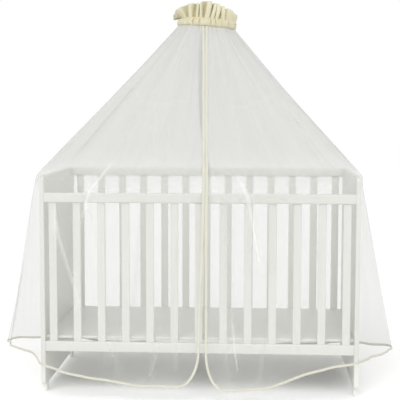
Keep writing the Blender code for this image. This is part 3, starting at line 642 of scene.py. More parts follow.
def net_cloth(look):
    """Knitted polyester net: fine matt off-white yarn with holes between, so what is behind it
    shows through, less where it bunches.  Real holes are about 1 mm; they are drawn at 3 mm so
    that they can be seen from close by."""
    material, tree, shader = new_material("knitted_polyester_net")
    uv = node(tree, "ShaderNodeUVMap", uv_map="cloth").outputs["UV"]
    # streaks of about 90 mm by 0.8 m, down the fall of the cloth
    fall = node(tree, "ShaderNodeMapping", {"Vector": uv, "Scale": (11.0, 1.3, 1.0)})
    streaks = node(tree, "ShaderNodeTexNoise",
                   {"Vector": fall.outputs["Vector"], "Scale": 1.0, "Detail": 2.0,
                    "Roughness": 0.5}, noise_dimensions="2D")
    across = node(tree, "ShaderNodeTexWave", {"Vector": uv, "Scale": bands(look.mesh_pitch)},
                  wave_type="BANDS", bands_direction="X")
    down = node(tree, "ShaderNodeTexWave", {"Vector": uv, "Scale": bands(look.mesh_pitch)},
                wave_type="BANDS", bands_direction="Y")
    threads = node(tree, "ShaderNodeMath", {0: across.outputs["Fac"], 1: down.outputs["Fac"]},
                   operation="MAXIMUM")
    cover = node(tree, "ShaderNodeAttribute", attribute_name="cover")
    thread_share = node(tree, "ShaderNodeMapRange",
                        {"Value": threads.outputs[0], "To Min": 0.88, "To Max": 1.08})
    streak_share = node(tree, "ShaderNodeMapRange",
                        {"Value": streaks.outputs["Fac"], "From Min": 0.3, "From Max": 0.7,
                         "To Min": 0.96, "To Max": 1.04})
    share = node(tree, "ShaderNodeMath",
                 {0: thread_share.outputs["Result"], 1: streak_share.outputs["Result"]},
                 operation="MULTIPLY")
    alpha = node(tree, "ShaderNodeMath", {0: cover.outputs["Fac"], 1: share.outputs[0]},
                 operation="MULTIPLY", use_clamp=True)
    flat = node(tree, "ShaderNodeMix",
                {"Factor": streaks.outputs["Fac"], "A": tuple(look.shade),
                 "B": tuple(look.colour)}, data_type="RGBA")
    # the fold value paints a highlight: the thickest creases are lightened towards the crease
    # colour
    fold = node(tree, "ShaderNodeAttribute", attribute_name="fold")
    colour = node(tree, "ShaderNodeMix",
                  {"Factor": fold.outputs["Fac"], "A": flat.outputs["Result"],
                   "B": tuple(look.lit)}, data_type="RGBA")
    feed(tree, shader, {"Base Color": colour.outputs["Result"], "Alpha": alpha.outputs[0],
                        "Roughness": 0.85, "Sheen Weight": 0.15})
    return material


def build_net(look, drape):
    columns, rows = drape.points.shape[:2]
    cone = ease((CONE_END - drape.level) / CONE_FADE)
    bunched = np.minimum(drape.bunch, 1.1 * np.median(drape.bunch, axis=0))
    layers = (SKIRT_LAYERS + CONE_LAYERS * cone + BUNCH_LAYERS * (bunched - 1)
              + drape.doubled)
    # fold carries the painted crease highlight
    piece = mesh_piece("sheer_net", drape.points, grid_faces(columns, rows), drape.lengths(),
                       cover=1 - (1 - look.cover) ** layers, fold=np.clip(drape.folded, 0, 1))
    piece.visible_shadow = False        # the fine yarn scatters most light on, so it hardly shades
    dress(piece, net_cloth(look), ["net"])


# ------------------------------------------------------------------ binding
TAPE_PARTING = 0.0008       # between the two front tapes where they all but meet
TAPE_EXTRA = 0.0030         # most that each tape is turned wider there
TAPES_LEAVE = 0.036         # net edges this far apart carry the tape at its plain width
TAPES_FADE = 0.010          # and edges nearer by this the full extra
TAPE_START = 0.0020         # from the net's two top corners down to the tape's ends
TAPE_WEAVE = 0.0012         # from thread to thread, as drawn
SEAM = (0.0012, 0.0024)     # the stitches fade out between these, from the inner edge
PUCKERS = ((0.0005, 0.023, 0.0), (0.0004, 0.037, 1.0))      # height, pitch and phase

# Outline of the folded tape: across its width (0 to 1, from the net outwards) and half its
# thickness there, with a groove where it is stitched.
TAPE_OUTLINE = ((0.00, 0.40), (0.07, 0.80), (0.16, 0.62), (0.26, 0.92), (0.55, 1.00),
                (0.84, 0.90), (0.96, 0.62))


def tape_cloth(look):
    """Cotton tape: matt cream plain weave, a row of stitches near its inner edge.  The weave is
    drawn at 1.2 mm, about twice the real one, so that it shows."""
    material, tree, shader = new_material("woven_cotton_tape")
    uv = node(tree, "ShaderNodeUVMap", uv_map="cloth").outputs["UV"]
    weave = node(tree, "ShaderNodeTexWave", {"Vector": uv, "Scale": bands(TAPE_WEAVE),
                                             "Distortion": 0.4},
                 wave_type="BANDS", bands_direction="X")
    stitches = node(tree, "ShaderNodeTexWave", {"Vector": uv, "Scale": bands(look.stitch_pitch)},
                    wave_type="BANDS", bands_direction="X")
    split = node(tree, "ShaderNodeSeparateXYZ", {"Vector": uv})
    inner = node(tree, "ShaderNodeMapRange",
                 {"Value": split.outputs["Y"], "From Min": SEAM[0], "From Max": SEAM[1],
                  "To Min": 1.0, "To Max": 0.0}, interpolation_type="SMOOTHSTEP")
    thread = node(tree, "ShaderNodeMath", {0: stitches.outputs["Fac"], 1: inner.outputs["Result"]},
                  operation="MULTIPLY")
    soft = node(tree, "ShaderNodeTexNoise", {"Vector": uv, "Scale": 18.0, "Detail": 3.0})
    tone = node(tree, "ShaderNodeMapRange",
                {"Value": soft.outputs["Fac"], "To Min": 0.90, "To Max": 1.04})
    stitched = node(tree, "ShaderNodeMapRange",
                    {"Value": thread.outputs[0], "To Min": 1.0, "To Max": 0.86})
    shade = node(tree, "ShaderNodeMath", {0: tone.outputs["Result"], 1: stitched.outputs["Result"]},
                 operation="MULTIPLY")
    colour = node(tree, "ShaderNodeVectorMath",
                  {0: tuple(look.colour)[:3], "Scale": shade.outputs[0]}, operation="SCALE")
    height = node(tree, "ShaderNodeMath", {0: weave.outputs["Fac"], 1: thread.outputs[0]},
                  operation="ADD")
    bump = node(tree, "ShaderNodeBump", {"Height": height.outputs[0], "Strength": 0.35,
                                         "Distance": 0.0004})
    feed(tree, shader, {"Base Color": colour.outputs["Vector"], "Normal": bump.outputs["Normal"],
                        "Roughness": 0.80, "Sheen Weight": 0.10})
    return material


def build_binding(look, drape):
    """Tape swept down the left edge, along the hem and up the right edge of the net."""
    points, normal = drape.points, drape.normal
    last = points.shape[0] - 1
    hem = points.shape[1] - 1
    rim = [(0, j) for j in range(hem)]
    rim += [(i, hem) for i in range(last)]
    rim += [(last, j) for j in range(hem, -1, -1)]
    at = np.array([points[i, j] for i, j in rim])
    face_way = np.array([normal[i, j] for i, j in rim])
    # three steps of the mesh in from the rim, to tell which way is out
    inside = np.array([points[min(max(i, 3), last - 3), min(j, hem - 3)] for i, j in rim])
    run = unit(np.gradient(at, axis=0))
    out = unit(np.cross(run, face_way))
    out *= np.sign((out * (at - inside)).sum(-1, keepdims=True))
    face_way = unit(np.cross(out, run))
    for ways in (out, face_way):        # calm the small turns of the finely folded edge
        for _ in range(3):
            ways[1:-1] = unit(ways[:-2] + 2 * ways[1:-1] + ways[2:])

    length = np.concatenate(([0.0], np.cumsum(np.linalg.norm(np.diff(at, axis=0), axis=1))))
    # where the two front edges run side by side, each tape is turned wider and all but meets
    # the other one
    apart = np.linalg.norm(at - at[::-1], axis=1)
    meeting = np.clip((apart - TAPE_PARTING) / 2 - look.width, 0, TAPE_EXTRA)
    width = look.width + meeting * ease((TAPES_LEAVE - apart) / TAPES_FADE)
    pucker = sum(high * np.sin(length * 2 * math.pi / pitch + phase)
                 for high, pitch, phase in PUCKERS)
    outline = [(w, h) for w, h in TAPE_OUTLINE] + [(1.0, 0.0)]
    outline += [(w, -h) for w, h in reversed(TAPE_OUTLINE)]
    at[0] += unit(at[1] - at[0]) * TAPE_START
    at[-1] += unit(at[-2] - at[-1]) * TAPE_START
    rings = []
    uv = []
    for across, high in outline:
        rings.append(at + out * (across * width)[:, None]
                     + face_way * (high * look.thickness / 2 + pucker * across)[:, None])
        uv.append(np.stack((length, np.full_like(length, across * look.width)), axis=-1))
    rings = np.stack(rings, axis=1)
    uv = np.stack(uv, axis=1)
    sections, sides = rings.shape[:2]
    faces = tube_faces(sections, sides, closed=False)
    faces.append(tuple(range(sides)))
    faces.append(tuple((sections - 1) * sides + k for k in reversed(range(sides))))
    piece = mesh_piece("bound_edge", rings, faces, uv)
    face_outwards(piece)
    dress(piece, tape_cloth(look), ["binding"])


def face_outwards(piece):
    make_active(piece)
    bpy.ops.object.mode_set(mode="EDIT")
    bpy.ops.mesh.select_all(action="SELECT")
    bpy.ops.mesh.normals_make_consistent(inside=False)
    bpy.ops.object.mode_set(mode="OBJECT")


# ------------------------------------------------------------------ heading
# Rows of the heading's outer face: share of the band's height and radius there, and how far
# pleats and fine gathers go in and out.
Band = namedtuple("Band", "share radius pleat gather")
BAND_ROWS = (
    Band(0.00, 0.1186, 0.0004, 0.0004), Band(0.08, 0.1208, 0.0008, 0.0008),
    Band(0.20, 0.1222, 0.0010, 0.0011), Band(0.34, 0.1226, 0.0012, 0.0012),
    Band(0.48, 0.1224, 0.0015, 0.0012), Band(0.62, 0.1208, 0.0017, 0.0013),
    Band(0.75, 0.1176, 0.0018, 0.0013), Band(0.86, 0.1132, 0.0019, 0.0012),
    Band(0.94, 0.1096, 0.0020, 0.0010), Band(1.00, 0.1080, 0.0020, 0.0008),
)
FRILL_ROWS = 18
CROWD = 0.105               # how much closer the columns lie by the hollows
DIP_WIDTH = 3.4             # half the width of a dip in the top edge, in degrees
FLANK_START = 0.2           # the flank of a pleat, in half widths of the hollow: where it starts
FLANK_WIDTH = 1.1           # and how wide it is
OPENING = 0.6               # power of the height by which a hollow opens or closes


class Waves:
    """The frill's pleats, column by column; the hollows widen or close towards the top."""

    def __init__(self, look):
        count = look.columns_a_pleat
        steps = np.arange(count) / count
        steps = steps - CROWD * np.sin(2 * math.pi * steps)
        rows = []
        for n, pleat in enumerate(PLEATS):
            after = PLEATS[(n + 1) % len(PLEATS)]
            wide = (after.hollow - pleat.hollow) % 360
            for share in steps:
                mix = ease(share)
                rows.append((pleat.hollow + wide * share, wide * share, wide * (1 - share),
                             pleat.foot, pleat.top, after.foot, after.top,
                             pleat.depth if share < 0.5 else after.depth, pleat.crest,
                             0.75 + 0.25 * math.sin(math.pi * share),
                             pleat.dip, after.dip,
                             pleat.sway + (after.sway - pleat.sway) * mix,
                             pleat.lift + (after.lift - pleat.lift) * mix,
                             math.sin(2 * math.pi * share) * wide / 15))
        (self.turn, self.past, self.ahead, self.foot, self.top, self.next_foot, self.next_top,
         self.depth, self.crest, self.round, dip, next_dip, self.sway, self.lift,
         self.side) = np.array(rows).T
        self.dip = (dip * np.exp(-(self.past / DIP_WIDTH) ** 2)
                    + next_dip * np.exp(-(self.ahead / DIP_WIDTH) ** 2))

    def at(self, share):
        """How far the cloth is in or out at this share of the frill's height, from -1 to 1."""
        opened = share ** OPENING
        past = self.past / (self.foot + (self.top - self.foot) * opened)
        ahead = self.ahead / (self.next_foot + (self.next_top - self.next_foot) * opened)
        flanks = [ease((off - FLANK_START) / FLANK_WIDTH) for off in (past, ahead)]
        return (self.depth + self.crest) * flanks[0] * flanks[1] * self.round - self.depth


def cotton_cloth(look):
    """Cotton lawn, doubled: matt, plain weave, with a warm shade painted into the hollows between
    the pleats.
    The weave is drawn at 1.2 mm, about three times the real one, so that it shows."""
    material, tree, shader = new_material("doubled_cotton_lawn")
    uv = node(tree, "ShaderNodeUVMap", uv_map="cloth").outputs["UV"]
    warp, weft = (
        node(tree, "ShaderNodeTexWave", {"Vector": uv, "Scale": bands(look.weave_pitch),
                                         "Distortion": 0.6, "Detail": 1.0},
             wave_type="BANDS", bands_direction=way) for way in ("X", "Y"))
    weave = node(tree, "ShaderNodeMath", {0: warp.outputs["Fac"], 1: weft.outputs["Fac"]},
                 operation="MULTIPLY")
    slub = node(tree, "ShaderNodeTexNoise", {"Vector": uv, "Scale": 60.0, "Detail": 4.0})
    # painted shade: the pleats' hollows and the band's tucks are mixed towards the deep colour
    valley = node(tree, "ShaderNodeAttribute", attribute_name="valley")
    uneven = node(tree, "ShaderNodeMapRange", {"Value": slub.outputs["Fac"], "To Min": 0.8,
                                               "To Max": 1.2})
    depth = node(tree, "ShaderNodeMath", {0: valley.outputs["Fac"], 1: uneven.outputs["Result"]},
                 operation="MULTIPLY", use_clamp=True)
    colour = node(tree, "ShaderNodeMix", {"Factor": depth.outputs[0], "A": tuple(look.colour),
                                          "B": tuple(look.deep)}, data_type="RGBA")
    bump = node(tree, "ShaderNodeBump", {"Height": weave.outputs[0], "Strength": 0.25,
                                         "Distance": 0.0004})
    feed(tree, shader, {"Base Color": colour.outputs["Result"], "Normal": bump.outputs["Normal"],
                        "Roughness": 0.85, "Sheen Weight": 0.20})
    return material


def build_heading(look):
    """Casing band with the hoop inside, shirred, with a deep uneven frill above."""
    waves = Waves(look)
    turn = waves.turn
    foot = waves.at(0.0)
    angle = np.radians(turn)
    sideways = np.sin(angle) ** 2
    frill = FRILL_FRONT + (FRILL_SIDE - FRILL_FRONT) * sideways
    on_left = turn % 360 < 180
    side_lean = np.where(on_left, FRILL_LEAN_LEFT, FRILL_LEAN_RIGHT)
    lean = FRILL_LEAN_FRONT + (side_lean - FRILL_LEAN_FRONT) * sideways ** 4
    # the drawn-in waist under the frill fills out towards the right, where the frill covers it
    waist = np.where(on_left, 0.0, FILLED_WAIST * sideways)
    fine = (sum(size * np.sin(angle * count + phase) for count, size, phase in FINE_GATHERS)
            / sum(size for _, size, _ in FINE_GATHERS))
    tucks = sum(tuck.depth * np.exp(-(((turn - tuck.turn + 180) % 360 - 180) / TUCK_WIDTH) ** 2)
                for tuck in TUCKS)

    rows = []       # radius, height, way out of the cloth, tip of the cloth, turn, painted shade in the hollows
    for band in BAND_ROWS:
        tip = lean / 2 * (band.share > 0.95)
        tucked = tucks * math.sin(math.pi * min(0.95, max(0.05, band.share)))
        out = band.pleat * foot + band.gather * fine - tucked
        # the last value is painted shade: a little on the whole band, more in its fine hollows and
        # tucks
        rows.append((band.radius + waist * ease((band.share - 0.5) * 2),
                     np.full_like(turn, BAND_HEIGHT * band.share), out, tip, turn,
                     np.clip(0.10 + 0.4 * band.share * (fine < -0.2) + TUCK_SHADE * tucked,
                             0, 1)))
    for k in range(1, FRILL_ROWS + 1):
        share = k / FRILL_ROWS
        wave = waves.at(share)
        tall = frill + (waves.lift - waves.dip) * share + 0.0014 * wave * share ** 2
        # shallow over the shirring, with its fine gathers, and opening out to full depth
        out = look.pleat_depth * (0.20 + 0.80 * ease(share * 1.05) ** 0.8) * wave
        out = out + 0.0008 * (1 - share) * fine
        # it leans unevenly round the ring, and each pleat its own way
        tip = lean + share * (0.10 * np.sin(angle * 5 + 0.7) + 0.05 * waves.sway)
        radius = SHIRR_RADIUS + waist * (1 - share) + tall * share * np.sin(tip)
        height = BAND_HEIGHT + tall * share * np.cos(tip)
        turned = turn + waves.sway * share - 0.9 * waves.side * share ** 0.7    # flanks bulge
        # painted shade in the hollows, less so up where they open
        rows.append((radius, height, out, tip, turned,
                     np.clip(0.46 - 0.72 * wave, 0, 1) * (1.08 - 0.70 * share)))
    outer = [(on_ring(t, r + o * np.cos(tip), h - o * np.sin(tip)), v)
             for r, h, o, tip, t, v in rows]
    cloth = [HEADING_CLOTH] * len(BAND_ROWS) + [FRILL_CLOTH] * FRILL_ROWS
    inner = [(on_ring(t, r + (o - thick) * np.cos(tip), h - (o - thick) * np.sin(tip)), v)
             for thick, (r, h, o, tip, t, v) in reversed(list(zip(cloth, rows))[1:])]
    top = rows[-1]
    middle = top[2] - FRILL_CLOTH / 2
    crown = on_ring(top[4], top[0] + middle * np.cos(top[3]) + FRILL_CLOTH / 2 * np.sin(top[3]),
                    top[1] - middle * np.sin(top[3]) + FRILL_CLOTH / 2 * np.cos(top[3]))
    floor = (       # radius and height of the casing's floor and its lip
        (BAND_ROWS[0].radius - HEADING_CLOTH, HEADING_CLOTH),
        (CASING_LIP_RADIUS + HEADING_CLOTH, HEADING_CLOTH),
        (CASING_LIP_RADIUS + HEADING_CLOTH, CASING_LIP_HEIGHT),
        (CASING_LIP_RADIUS + HEADING_CLOTH / 2, CASING_LIP_HEIGHT + 0.0006),
        (CASING_LIP_RADIUS, CASING_LIP_HEIGHT),
        (CASING_LIP_RADIUS, 0.0005),
        (CASING_LIP_RADIUS + 0.0008, 0.0))
    loops = outer + [(crown, rows[-1][5])] + inner
    loops += [(on_ring(turn, radius, np.full_like(turn, height)), np.zeros_like(turn))
              for radius, height in floor]
    rings = np.stack([ring for ring, _ in loops], axis=1)
    valley = np.stack([v for _, v in loops], axis=1)
    columns, sides = rings.shape[:2]
    around = np.linalg.norm(np.diff(rings, axis=1, append=rings[:, :1]), axis=-1)
    down = np.cumsum(around, axis=1)
    along = np.repeat((turn / 360 * WEAVE_ROUND)[:, None], sides, axis=1)
    piece = mesh_piece("frilled_heading", rings, tube_faces(columns, sides, closed=True),
                       np.stack((along, down), axis=-1), valley=valley)
    face_outwards(piece)
    dress(piece, cotton_cloth(look), ["heading"])


# ------------------------------------------------------------------ holder
SEAT_GAP = 0.0003           # between pieces that sit against each other
POLE_RADIUS = 0.0085
POLE_TURN = 164.5           # where the pole meets the ring, in degrees round it
POLE_FOOT = 0.024           # how far it runs straight up in its collar
POLE_HEAD = 0.040           # and square to the ring at its top
POLE_BENDS = ((-0.024, 0.252, 1.110), (-0.023, 0.186, 1.320))       # stops between these
POLE_STEPS = 12             # points from each stop of the pole to the next
HOOP_RADIUS = 0.1125        # to the middle of the wire
HOOP_WIRE = 0.003           # half the wire's thickness
HOOP_TOP = HEADING_CLOTH + SEAT_GAP + 2 * HOOP_WIRE     # the hoop lies on the casing's floor


def satin(name, colour, grain, broad, tone, relief, roughness):
    """A satin surface: fine relief (noise scale, strength and height) and a colour that varies
    broadly (noise scale, least and most share of it)."""
    material, tree, shader = new_material(name)
    place = node(tree, "ShaderNodeTexCoord").outputs["Object"]
    fine = node(tree, "ShaderNodeTexNoise", {"Vector": place, "Scale": grain, "Detail": 2.0})
    clouds = node(tree, "ShaderNodeTexNoise", {"Vector": place, "Scale": broad, "Detail": 3.0})
    share = node(tree, "ShaderNodeMapRange", {"Value": clouds.outputs["Fac"], "To Min": tone[0],
                                              "To Max": tone[1]})
    varied = node(tree, "ShaderNodeVectorMath",
                  {0: tuple(colour)[:3], "Scale": share.outputs["Result"]}, operation="SCALE")
    bump = node(tree, "ShaderNodeBump", {"Height": fine.outputs["Fac"], "Strength": relief[0],
                                         "Distance": relief[1]})
    feed(tree, shader, {"Base Color": varied.outputs["Vector"], "Normal": bump.outputs["Normal"],
                        "Roughness": roughness})
    return material


def powder_coat(look):
    """Powder-coated steel tube: light grey, satin, with a faint orange peel of 1.5 mm."""
    return satin("powder_coated_steel", look.pole, grain=700.0, broad=9.0, tone=(0.93, 1.03),
                 relief=(0.12, 0.0003), roughness=0.38)


def moulded_plastic(look):
    """Injection-moulded ABS: off-white, satin, with a fine spark-eroded grain."""
    return satin("moulded_abs", look.plastic, grain=1400.0, broad=22.0, tone=(0.94, 1.02),
                 relief=(0.15, 0.0002), roughness=0.42)


def smooth_faces(piece, angle=35):
    """Shades the piece smooth, but not over edges sharper than the angle."""
    make_active(piece)
    bpy.ops.object.shade_smooth_by_angle(angle=math.radians(angle))


def soften(piece, width, segments=3, angle=30):
    """Bevels the hard edges and shades the piece smooth up to them."""
    make_active(piece)
    edge = piece.modifiers.new("soft edge", "BEVEL")
    edge.width = width
    edge.segments = segments
    edge.limit_method = "ANGLE"
    edge.angle_limit = math.radians(angle)
    bpy.ops.object.modifier_apply(modifier=edge.name)
    smooth_faces(piece)


def add_cube(name, low, high):
    deselect()
    bpy.ops.mesh.primitive_cube_add(size=1, location=(low + high) / 2)
    piece = bpy.context.object
    piece.name = piece.data.name = name
    piece.scale = high - low
    bpy.ops.object.transform_apply(location=True, rotation=False, scale=True)
    return piece


def pick(piece, wanted, kind):
    """Leaves edit mode on, with the edges or faces selected that wanted() accepts."""
    make_active(piece)
    bpy.ops.object.mode_set(mode="EDIT")
    bpy.ops.mesh.select_mode(type=kind)
    bpy.ops.mesh.select_all(action="DESELECT")
    bpy.ops.object.mode_set(mode="OBJECT")
    parts = piece.data.edges if kind == "EDGE" else piece.data.polygons
    for part in parts:
        part.select = wanted(part)
    bpy.ops.object.mode_set(mode="EDIT")


def round_edges(piece, axis, radius, segments):
    """Rounds the edges that run along an axis."""
    def along_axis(edge):
        a, b = (piece.data.vertices[i].co for i in edge.vertices)
        way = b - a
        return abs(way[axis]) > 0.9 * way.length
    pick(piece, along_axis, "EDGE")
    bpy.ops.mesh.bevel(offset=radius, segments=segments, affect="EDGES")
    bpy.ops.object.mode_set(mode="OBJECT")


def pole_stops():
    """Places on the pole's middle line, from its foot in the collar up to the hoop's bracket."""
    low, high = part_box("pole_collar")
    base = Vector(((low.x + high.x) / 2, (low.y + high.y) / 2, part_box("pole")[0].z))
    reach = CASING_LIP_RADIUS - SEAT_GAP - POLE_RADIUS
    head = (on_ring(POLE_TURN, reach, height) for height in (HOOP_TOP - POLE_HEAD, HOOP_TOP))
    return (base, base + Vector((0, 0, POLE_FOOT)), *(COT + Vector(bend) for bend in POLE_BENDS),
            *(Vector(place) for place in head))


def build_pole(coat):
    """A tube bent from the collar up into the ring."""
    stops = pole_stops()
    deselect()
    bpy.ops.curve.primitive_nurbs_path_add()
    piece = bpy.context.object
    piece.name = "canopy_pole"
    route = piece.data
    route.splines.clear()
    line = route.splines.new("POLY")
    stops = (2 * stops[0] - stops[1], *stops, 2 * stops[-1] - stops[-2])
    points = [stops[1]]
    for i in range(len(stops) - 3):
        for k in range(POLE_STEPS):
            points.append(through(*stops[i:i + 4], (k + 1) / POLE_STEPS))
    line.points.add(len(points) - 1)
    for target, point in zip(line.points, points):
        target.co = (*point, 1.0)
    route.dimensions = "3D"
    route.bevel_depth = POLE_RADIUS
    route.bevel_resolution = 6
    route.use_fill_caps = True
    make_active(piece)
    bpy.ops.object.convert(target="MESH")
    piece = bpy.context.object
    piece.data.name = piece.name
    smooth_faces(piece, 40)
    dress(piece, coat, ["pole"])


def build_hoop(coat):
    """The wire ring in the heading's casing."""
    deselect()
    centre = Vector(on_ring(0.0, 0.0, HOOP_TOP - HOOP_WIRE))
    bpy.ops.mesh.primitive_torus_add(location=centre, rotation=(0.0, RING_TILT, 0.0),
                                     major_radius=HOOP_RADIUS, minor_radius=HOOP_WIRE,
                                     major_segments=120, minor_segments=14)
    piece = bpy.context.object
    piece.name = piece.data.name = "wire_hoop"
    bpy.ops.object.transform_apply(location=True, rotation=True, scale=True)
    bpy.ops.object.shade_smooth()
    dress(piece, coat, ["hoop"])


def build_bracket(coat):
    """A small plate with rounded corners over the pole's end and the hoop."""
    outer = HOOP_RADIUS + HOOP_WIRE
    depth = outer - (CASING_LIP_RADIUS - SEAT_GAP - 2 * POLE_RADIUS)
    half = Vector((0.010, depth / 2, 0.004))
    piece = add_cube("hoop_plate", -half, half)
    round_edges(piece, 2, 0.005, 5)
    soften(piece, 0.0012)
    at = Vector(on_ring(POLE_TURN, outer - depth / 2, HOOP_TOP + SEAT_GAP + half.z))
    piece.data.transform(Matrix.Translation(at) @ Matrix.Rotation(RING_TILT, 4, "Y")
                         @ Matrix.Rotation(math.pi - math.radians(POLE_TURN), 4, "Z"))
    dress(piece, coat, ["hoop_bracket"])


def build_collar(coat):
    """A short turned ring with chamfered rims round the pole's foot."""
    low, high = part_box("pole_collar")
    outer = (high.x - low.x) / 2
    wall = 0.004
    deselect()
    bpy.ops.mesh.primitive_plane_add(size=1, location=(outer - wall / 2, 0, (high.z - low.z) / 2),
                                     rotation=(math.pi / 2, 0, 0))
    piece = bpy.context.object
    piece.name = piece.data.name = "foot_collar"
    piece.scale = (wall, high.z - low.z, 1)
    bpy.ops.object.transform_apply(location=True, rotation=True, scale=True)
    turned = piece.modifiers.new("turned", "SCREW")
    turned.steps = turned.render_steps = 40
    turned.use_merge_vertices = True
    turned.merge_threshold = 0.00001
    bpy.ops.object.modifier_apply(modifier=turned.name)
    pick(piece, lambda face: True, "FACE")
    bpy.ops.mesh.delete_loose(use_verts=True, use_edges=True, use_faces=False)
    bpy.ops.object.mode_set(mode="OBJECT")
    keep_walls(piece, outer, wall)
    soften(piece, 0.0008, segments=2)
    face_outwards(piece)
    piece.data.transform(Matrix.Translation(((low.x + high.x) / 2, (low.y + high.y) / 2, low.z)))
    dress(piece, coat, ["pole_collar"])


def keep_walls(piece, outer, wall):
    """Deletes the flat section that the turned ring started from."""
    def inside(face):
        radius = math.hypot(face.center.x, face.center.y)
        return outer - 0.8 * wall < radius < outer - 0.2 * wall and abs(face.normal.z) < 0.5
    pick(piece, inside, "FACE")
    bpy.ops.mesh.delete(type="FACE")
    bpy.ops.object.mode_set(mode="OBJECT")


def build_saddle(coat):
    """The pressed saddle over the back rail: a plate with a cheek folded down on each side."""
    low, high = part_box("saddle")
    cheek = 0.004
    plate = 0.008
    piece = add_cube("rail_saddle", Vector((low.x, low.y, high.z - plate)), high)
    for y in (low.y + cheek, high.y - cheek):
        pick(piece, lambda face: True, "FACE")
        bpy.ops.mesh.bisect(plane_co=(0, y, 0), plane_no=(0, 1, 0))
        bpy.ops.object.mode_set(mode="OBJECT")

    def underside(face):
        return (face.normal.z < -0.9
                and not low.y + cheek < face.center.y < high.y - cheek)
    pick(piece, underside, "FACE")
    bpy.ops.mesh.extrude_region_move(
        TRANSFORM_OT_translate={"value": (0, 0, low.z - (high.z - plate))})
    bpy.ops.object.mode_set(mode="OBJECT")
    soften(piece, 0.0012, segments=3)
    dress(piece, coat, ["saddle"])


def build_knob(plastic):
    """A fluted clamping knob with a dished face."""
    low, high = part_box("saddle_knob")
    middle = (low + high) / 2
    radius = (high.x - low.x) / 2
    deselect()
    bpy.ops.mesh.primitive_cylinder_add(vertices=48, radius=radius, depth=high.y - low.y,
                                        location=middle, rotation=(math.pi / 2, 0, 0))
    piece = bpy.context.object
    piece.name = piece.data.name = "clamp_knob"
    bpy.ops.object.transform_apply(location=True, rotation=True, scale=True)
    for vertex in piece.data.vertices:
        off = Vector((vertex.co.x - middle.x, 0, vertex.co.z - middle.z))
        flute = 0.955 + 0.045 * math.cos(8 * math.atan2(off.z, off.x))
        vertex.co.x = middle.x + off.x * flute
        vertex.co.z = middle.z + off.z * flute
    pick(piece, lambda face: face.normal.y < -0.9, "FACE")
    bpy.ops.mesh.inset(thickness=0.003)
    bpy.ops.mesh.inset(thickness=0.0008, depth=-0.0012)
    bpy.ops.object.mode_set(mode="OBJECT")
    soften(piece, 0.0007, segments=2, angle=50)
    dress(piece, plastic, ["saddle_knob"])


# ------------------------------------------------------------------ cot
def white_paint(look, name, grain_scale):
    """White lacquer rolled on wood: satin, with a trace of the grain under it and a fine
    roller texture of about 2 mm."""
    material, tree, shader = new_material(name)
    place = node(tree, "ShaderNodeTexCoord").outputs["Object"]
    stretched = node(tree, "ShaderNodeMapping", {"Vector": place, "Scale": grain_scale})
    grain = node(tree, "ShaderNodeTexNoise", {"Vector": stretched.outputs["Vector"], "Scale": 1.0,
                                              "Detail": 4.0, "Roughness": 0.55})
    roller = node(tree, "ShaderNodeTexNoise", {"Vector": place, "Scale": 520.0, "Detail": 2.0})
    broad = node(tree, "ShaderNodeTexNoise", {"Vector": place, "Scale": 5.0, "Detail": 4.0})
    tone = node(tree, "ShaderNodeMapRange", {"Value": broad.outputs["Fac"], "To Min": 0.955,
                                             "To Max": 1.01})
    faint = node(tree, "ShaderNodeMapRange", {"Value": grain.outputs["Fac"], "From Min": 0.3,
                                              "From Max": 0.7, "To Min": 0.975, "To Max": 1.0})
    shade = node(tree, "ShaderNodeMath", {0: tone.outputs["Result"], 1: faint.outputs["Result"]},
                 operation="MULTIPLY")
    colour = node(tree, "ShaderNodeVectorMath",
                  {0: tuple(look.paint)[:3], "Scale": shade.outputs[0]}, operation="SCALE")
    gloss = node(tree, "ShaderNodeMapRange", {"Value": broad.outputs["Fac"], "To Min": 0.34,
                                              "To Max": 0.46})
    relief = node(tree, "ShaderNodeMath", {0: grain.outputs["Fac"], 1: roller.outputs["Fac"]},
                  operation="ADD")
    bump = node(tree, "ShaderNodeBump", {"Height": relief.outputs[0], "Strength": 0.10,
                                         "Distance": 0.0005})
    feed(tree, shader, {"Base Color": colour.outputs["Vector"],
                        "Roughness": gloss.outputs["Result"], "Normal": bump.outputs["Normal"]})
    return material


def build_end_panel(side, paint):
    """A solid end board with rounded corners."""
    node_name = "end_panel_" + side
    low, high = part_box(node_name)
    piece = add_cube("end_board_" + side, low, high)
    round_edges(piece, 0, 0.020, 10)
    soften(piece, 0.0024, segments=3, angle=60)
    dress(piece, paint, [node_name])


def build_rail(node_name, paint):
    """A rail with rounded long edges."""
    low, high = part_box(node_name)
    piece = add_cube(node_name + "_wood", low, high)
    round_edges(piece, 0, 0.005, 5)
    smooth_faces(piece)
    dress(piece, paint, [node_name])


def build_slats(side, paint):
    """One slat with rounded long edges, copied to each slat's place."""
    names = sorted(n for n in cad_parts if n.startswith(side + "_slat_"))
    low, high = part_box(names[0])
    first = add_cube(names[0] + "_wood", low, high)
    round_edges(first, 2, 0.0035, 4)
    smooth_faces(first)
    for name in names:
        piece = first
        if name != names[0]:
            piece = bpy.data.objects.new(name + "_wood", first.data.copy())
            bpy.context.scene.collection.objects.link(piece)
            piece.data.transform(Matrix.Translation(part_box(name)[0] - low))
        dress(piece, paint, [name])


def build_foot(node_name, plastic):
    """A moulded foot: a rounded block under the board."""
    low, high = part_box(node_name)
    piece = add_cube(node_name + "_glide", low, high)
    round_edges(piece, 2, 0.0055, 5)
    soften(piece, 0.0020, segments=3, angle=60)
    dress(piece, plastic, [node_name])


def build_base(paint):
    low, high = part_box("base_board")
    piece = add_cube("mattress_board", low, high)
    soften(piece, 0.0020)
    dress(piece, paint, ["base_board"])


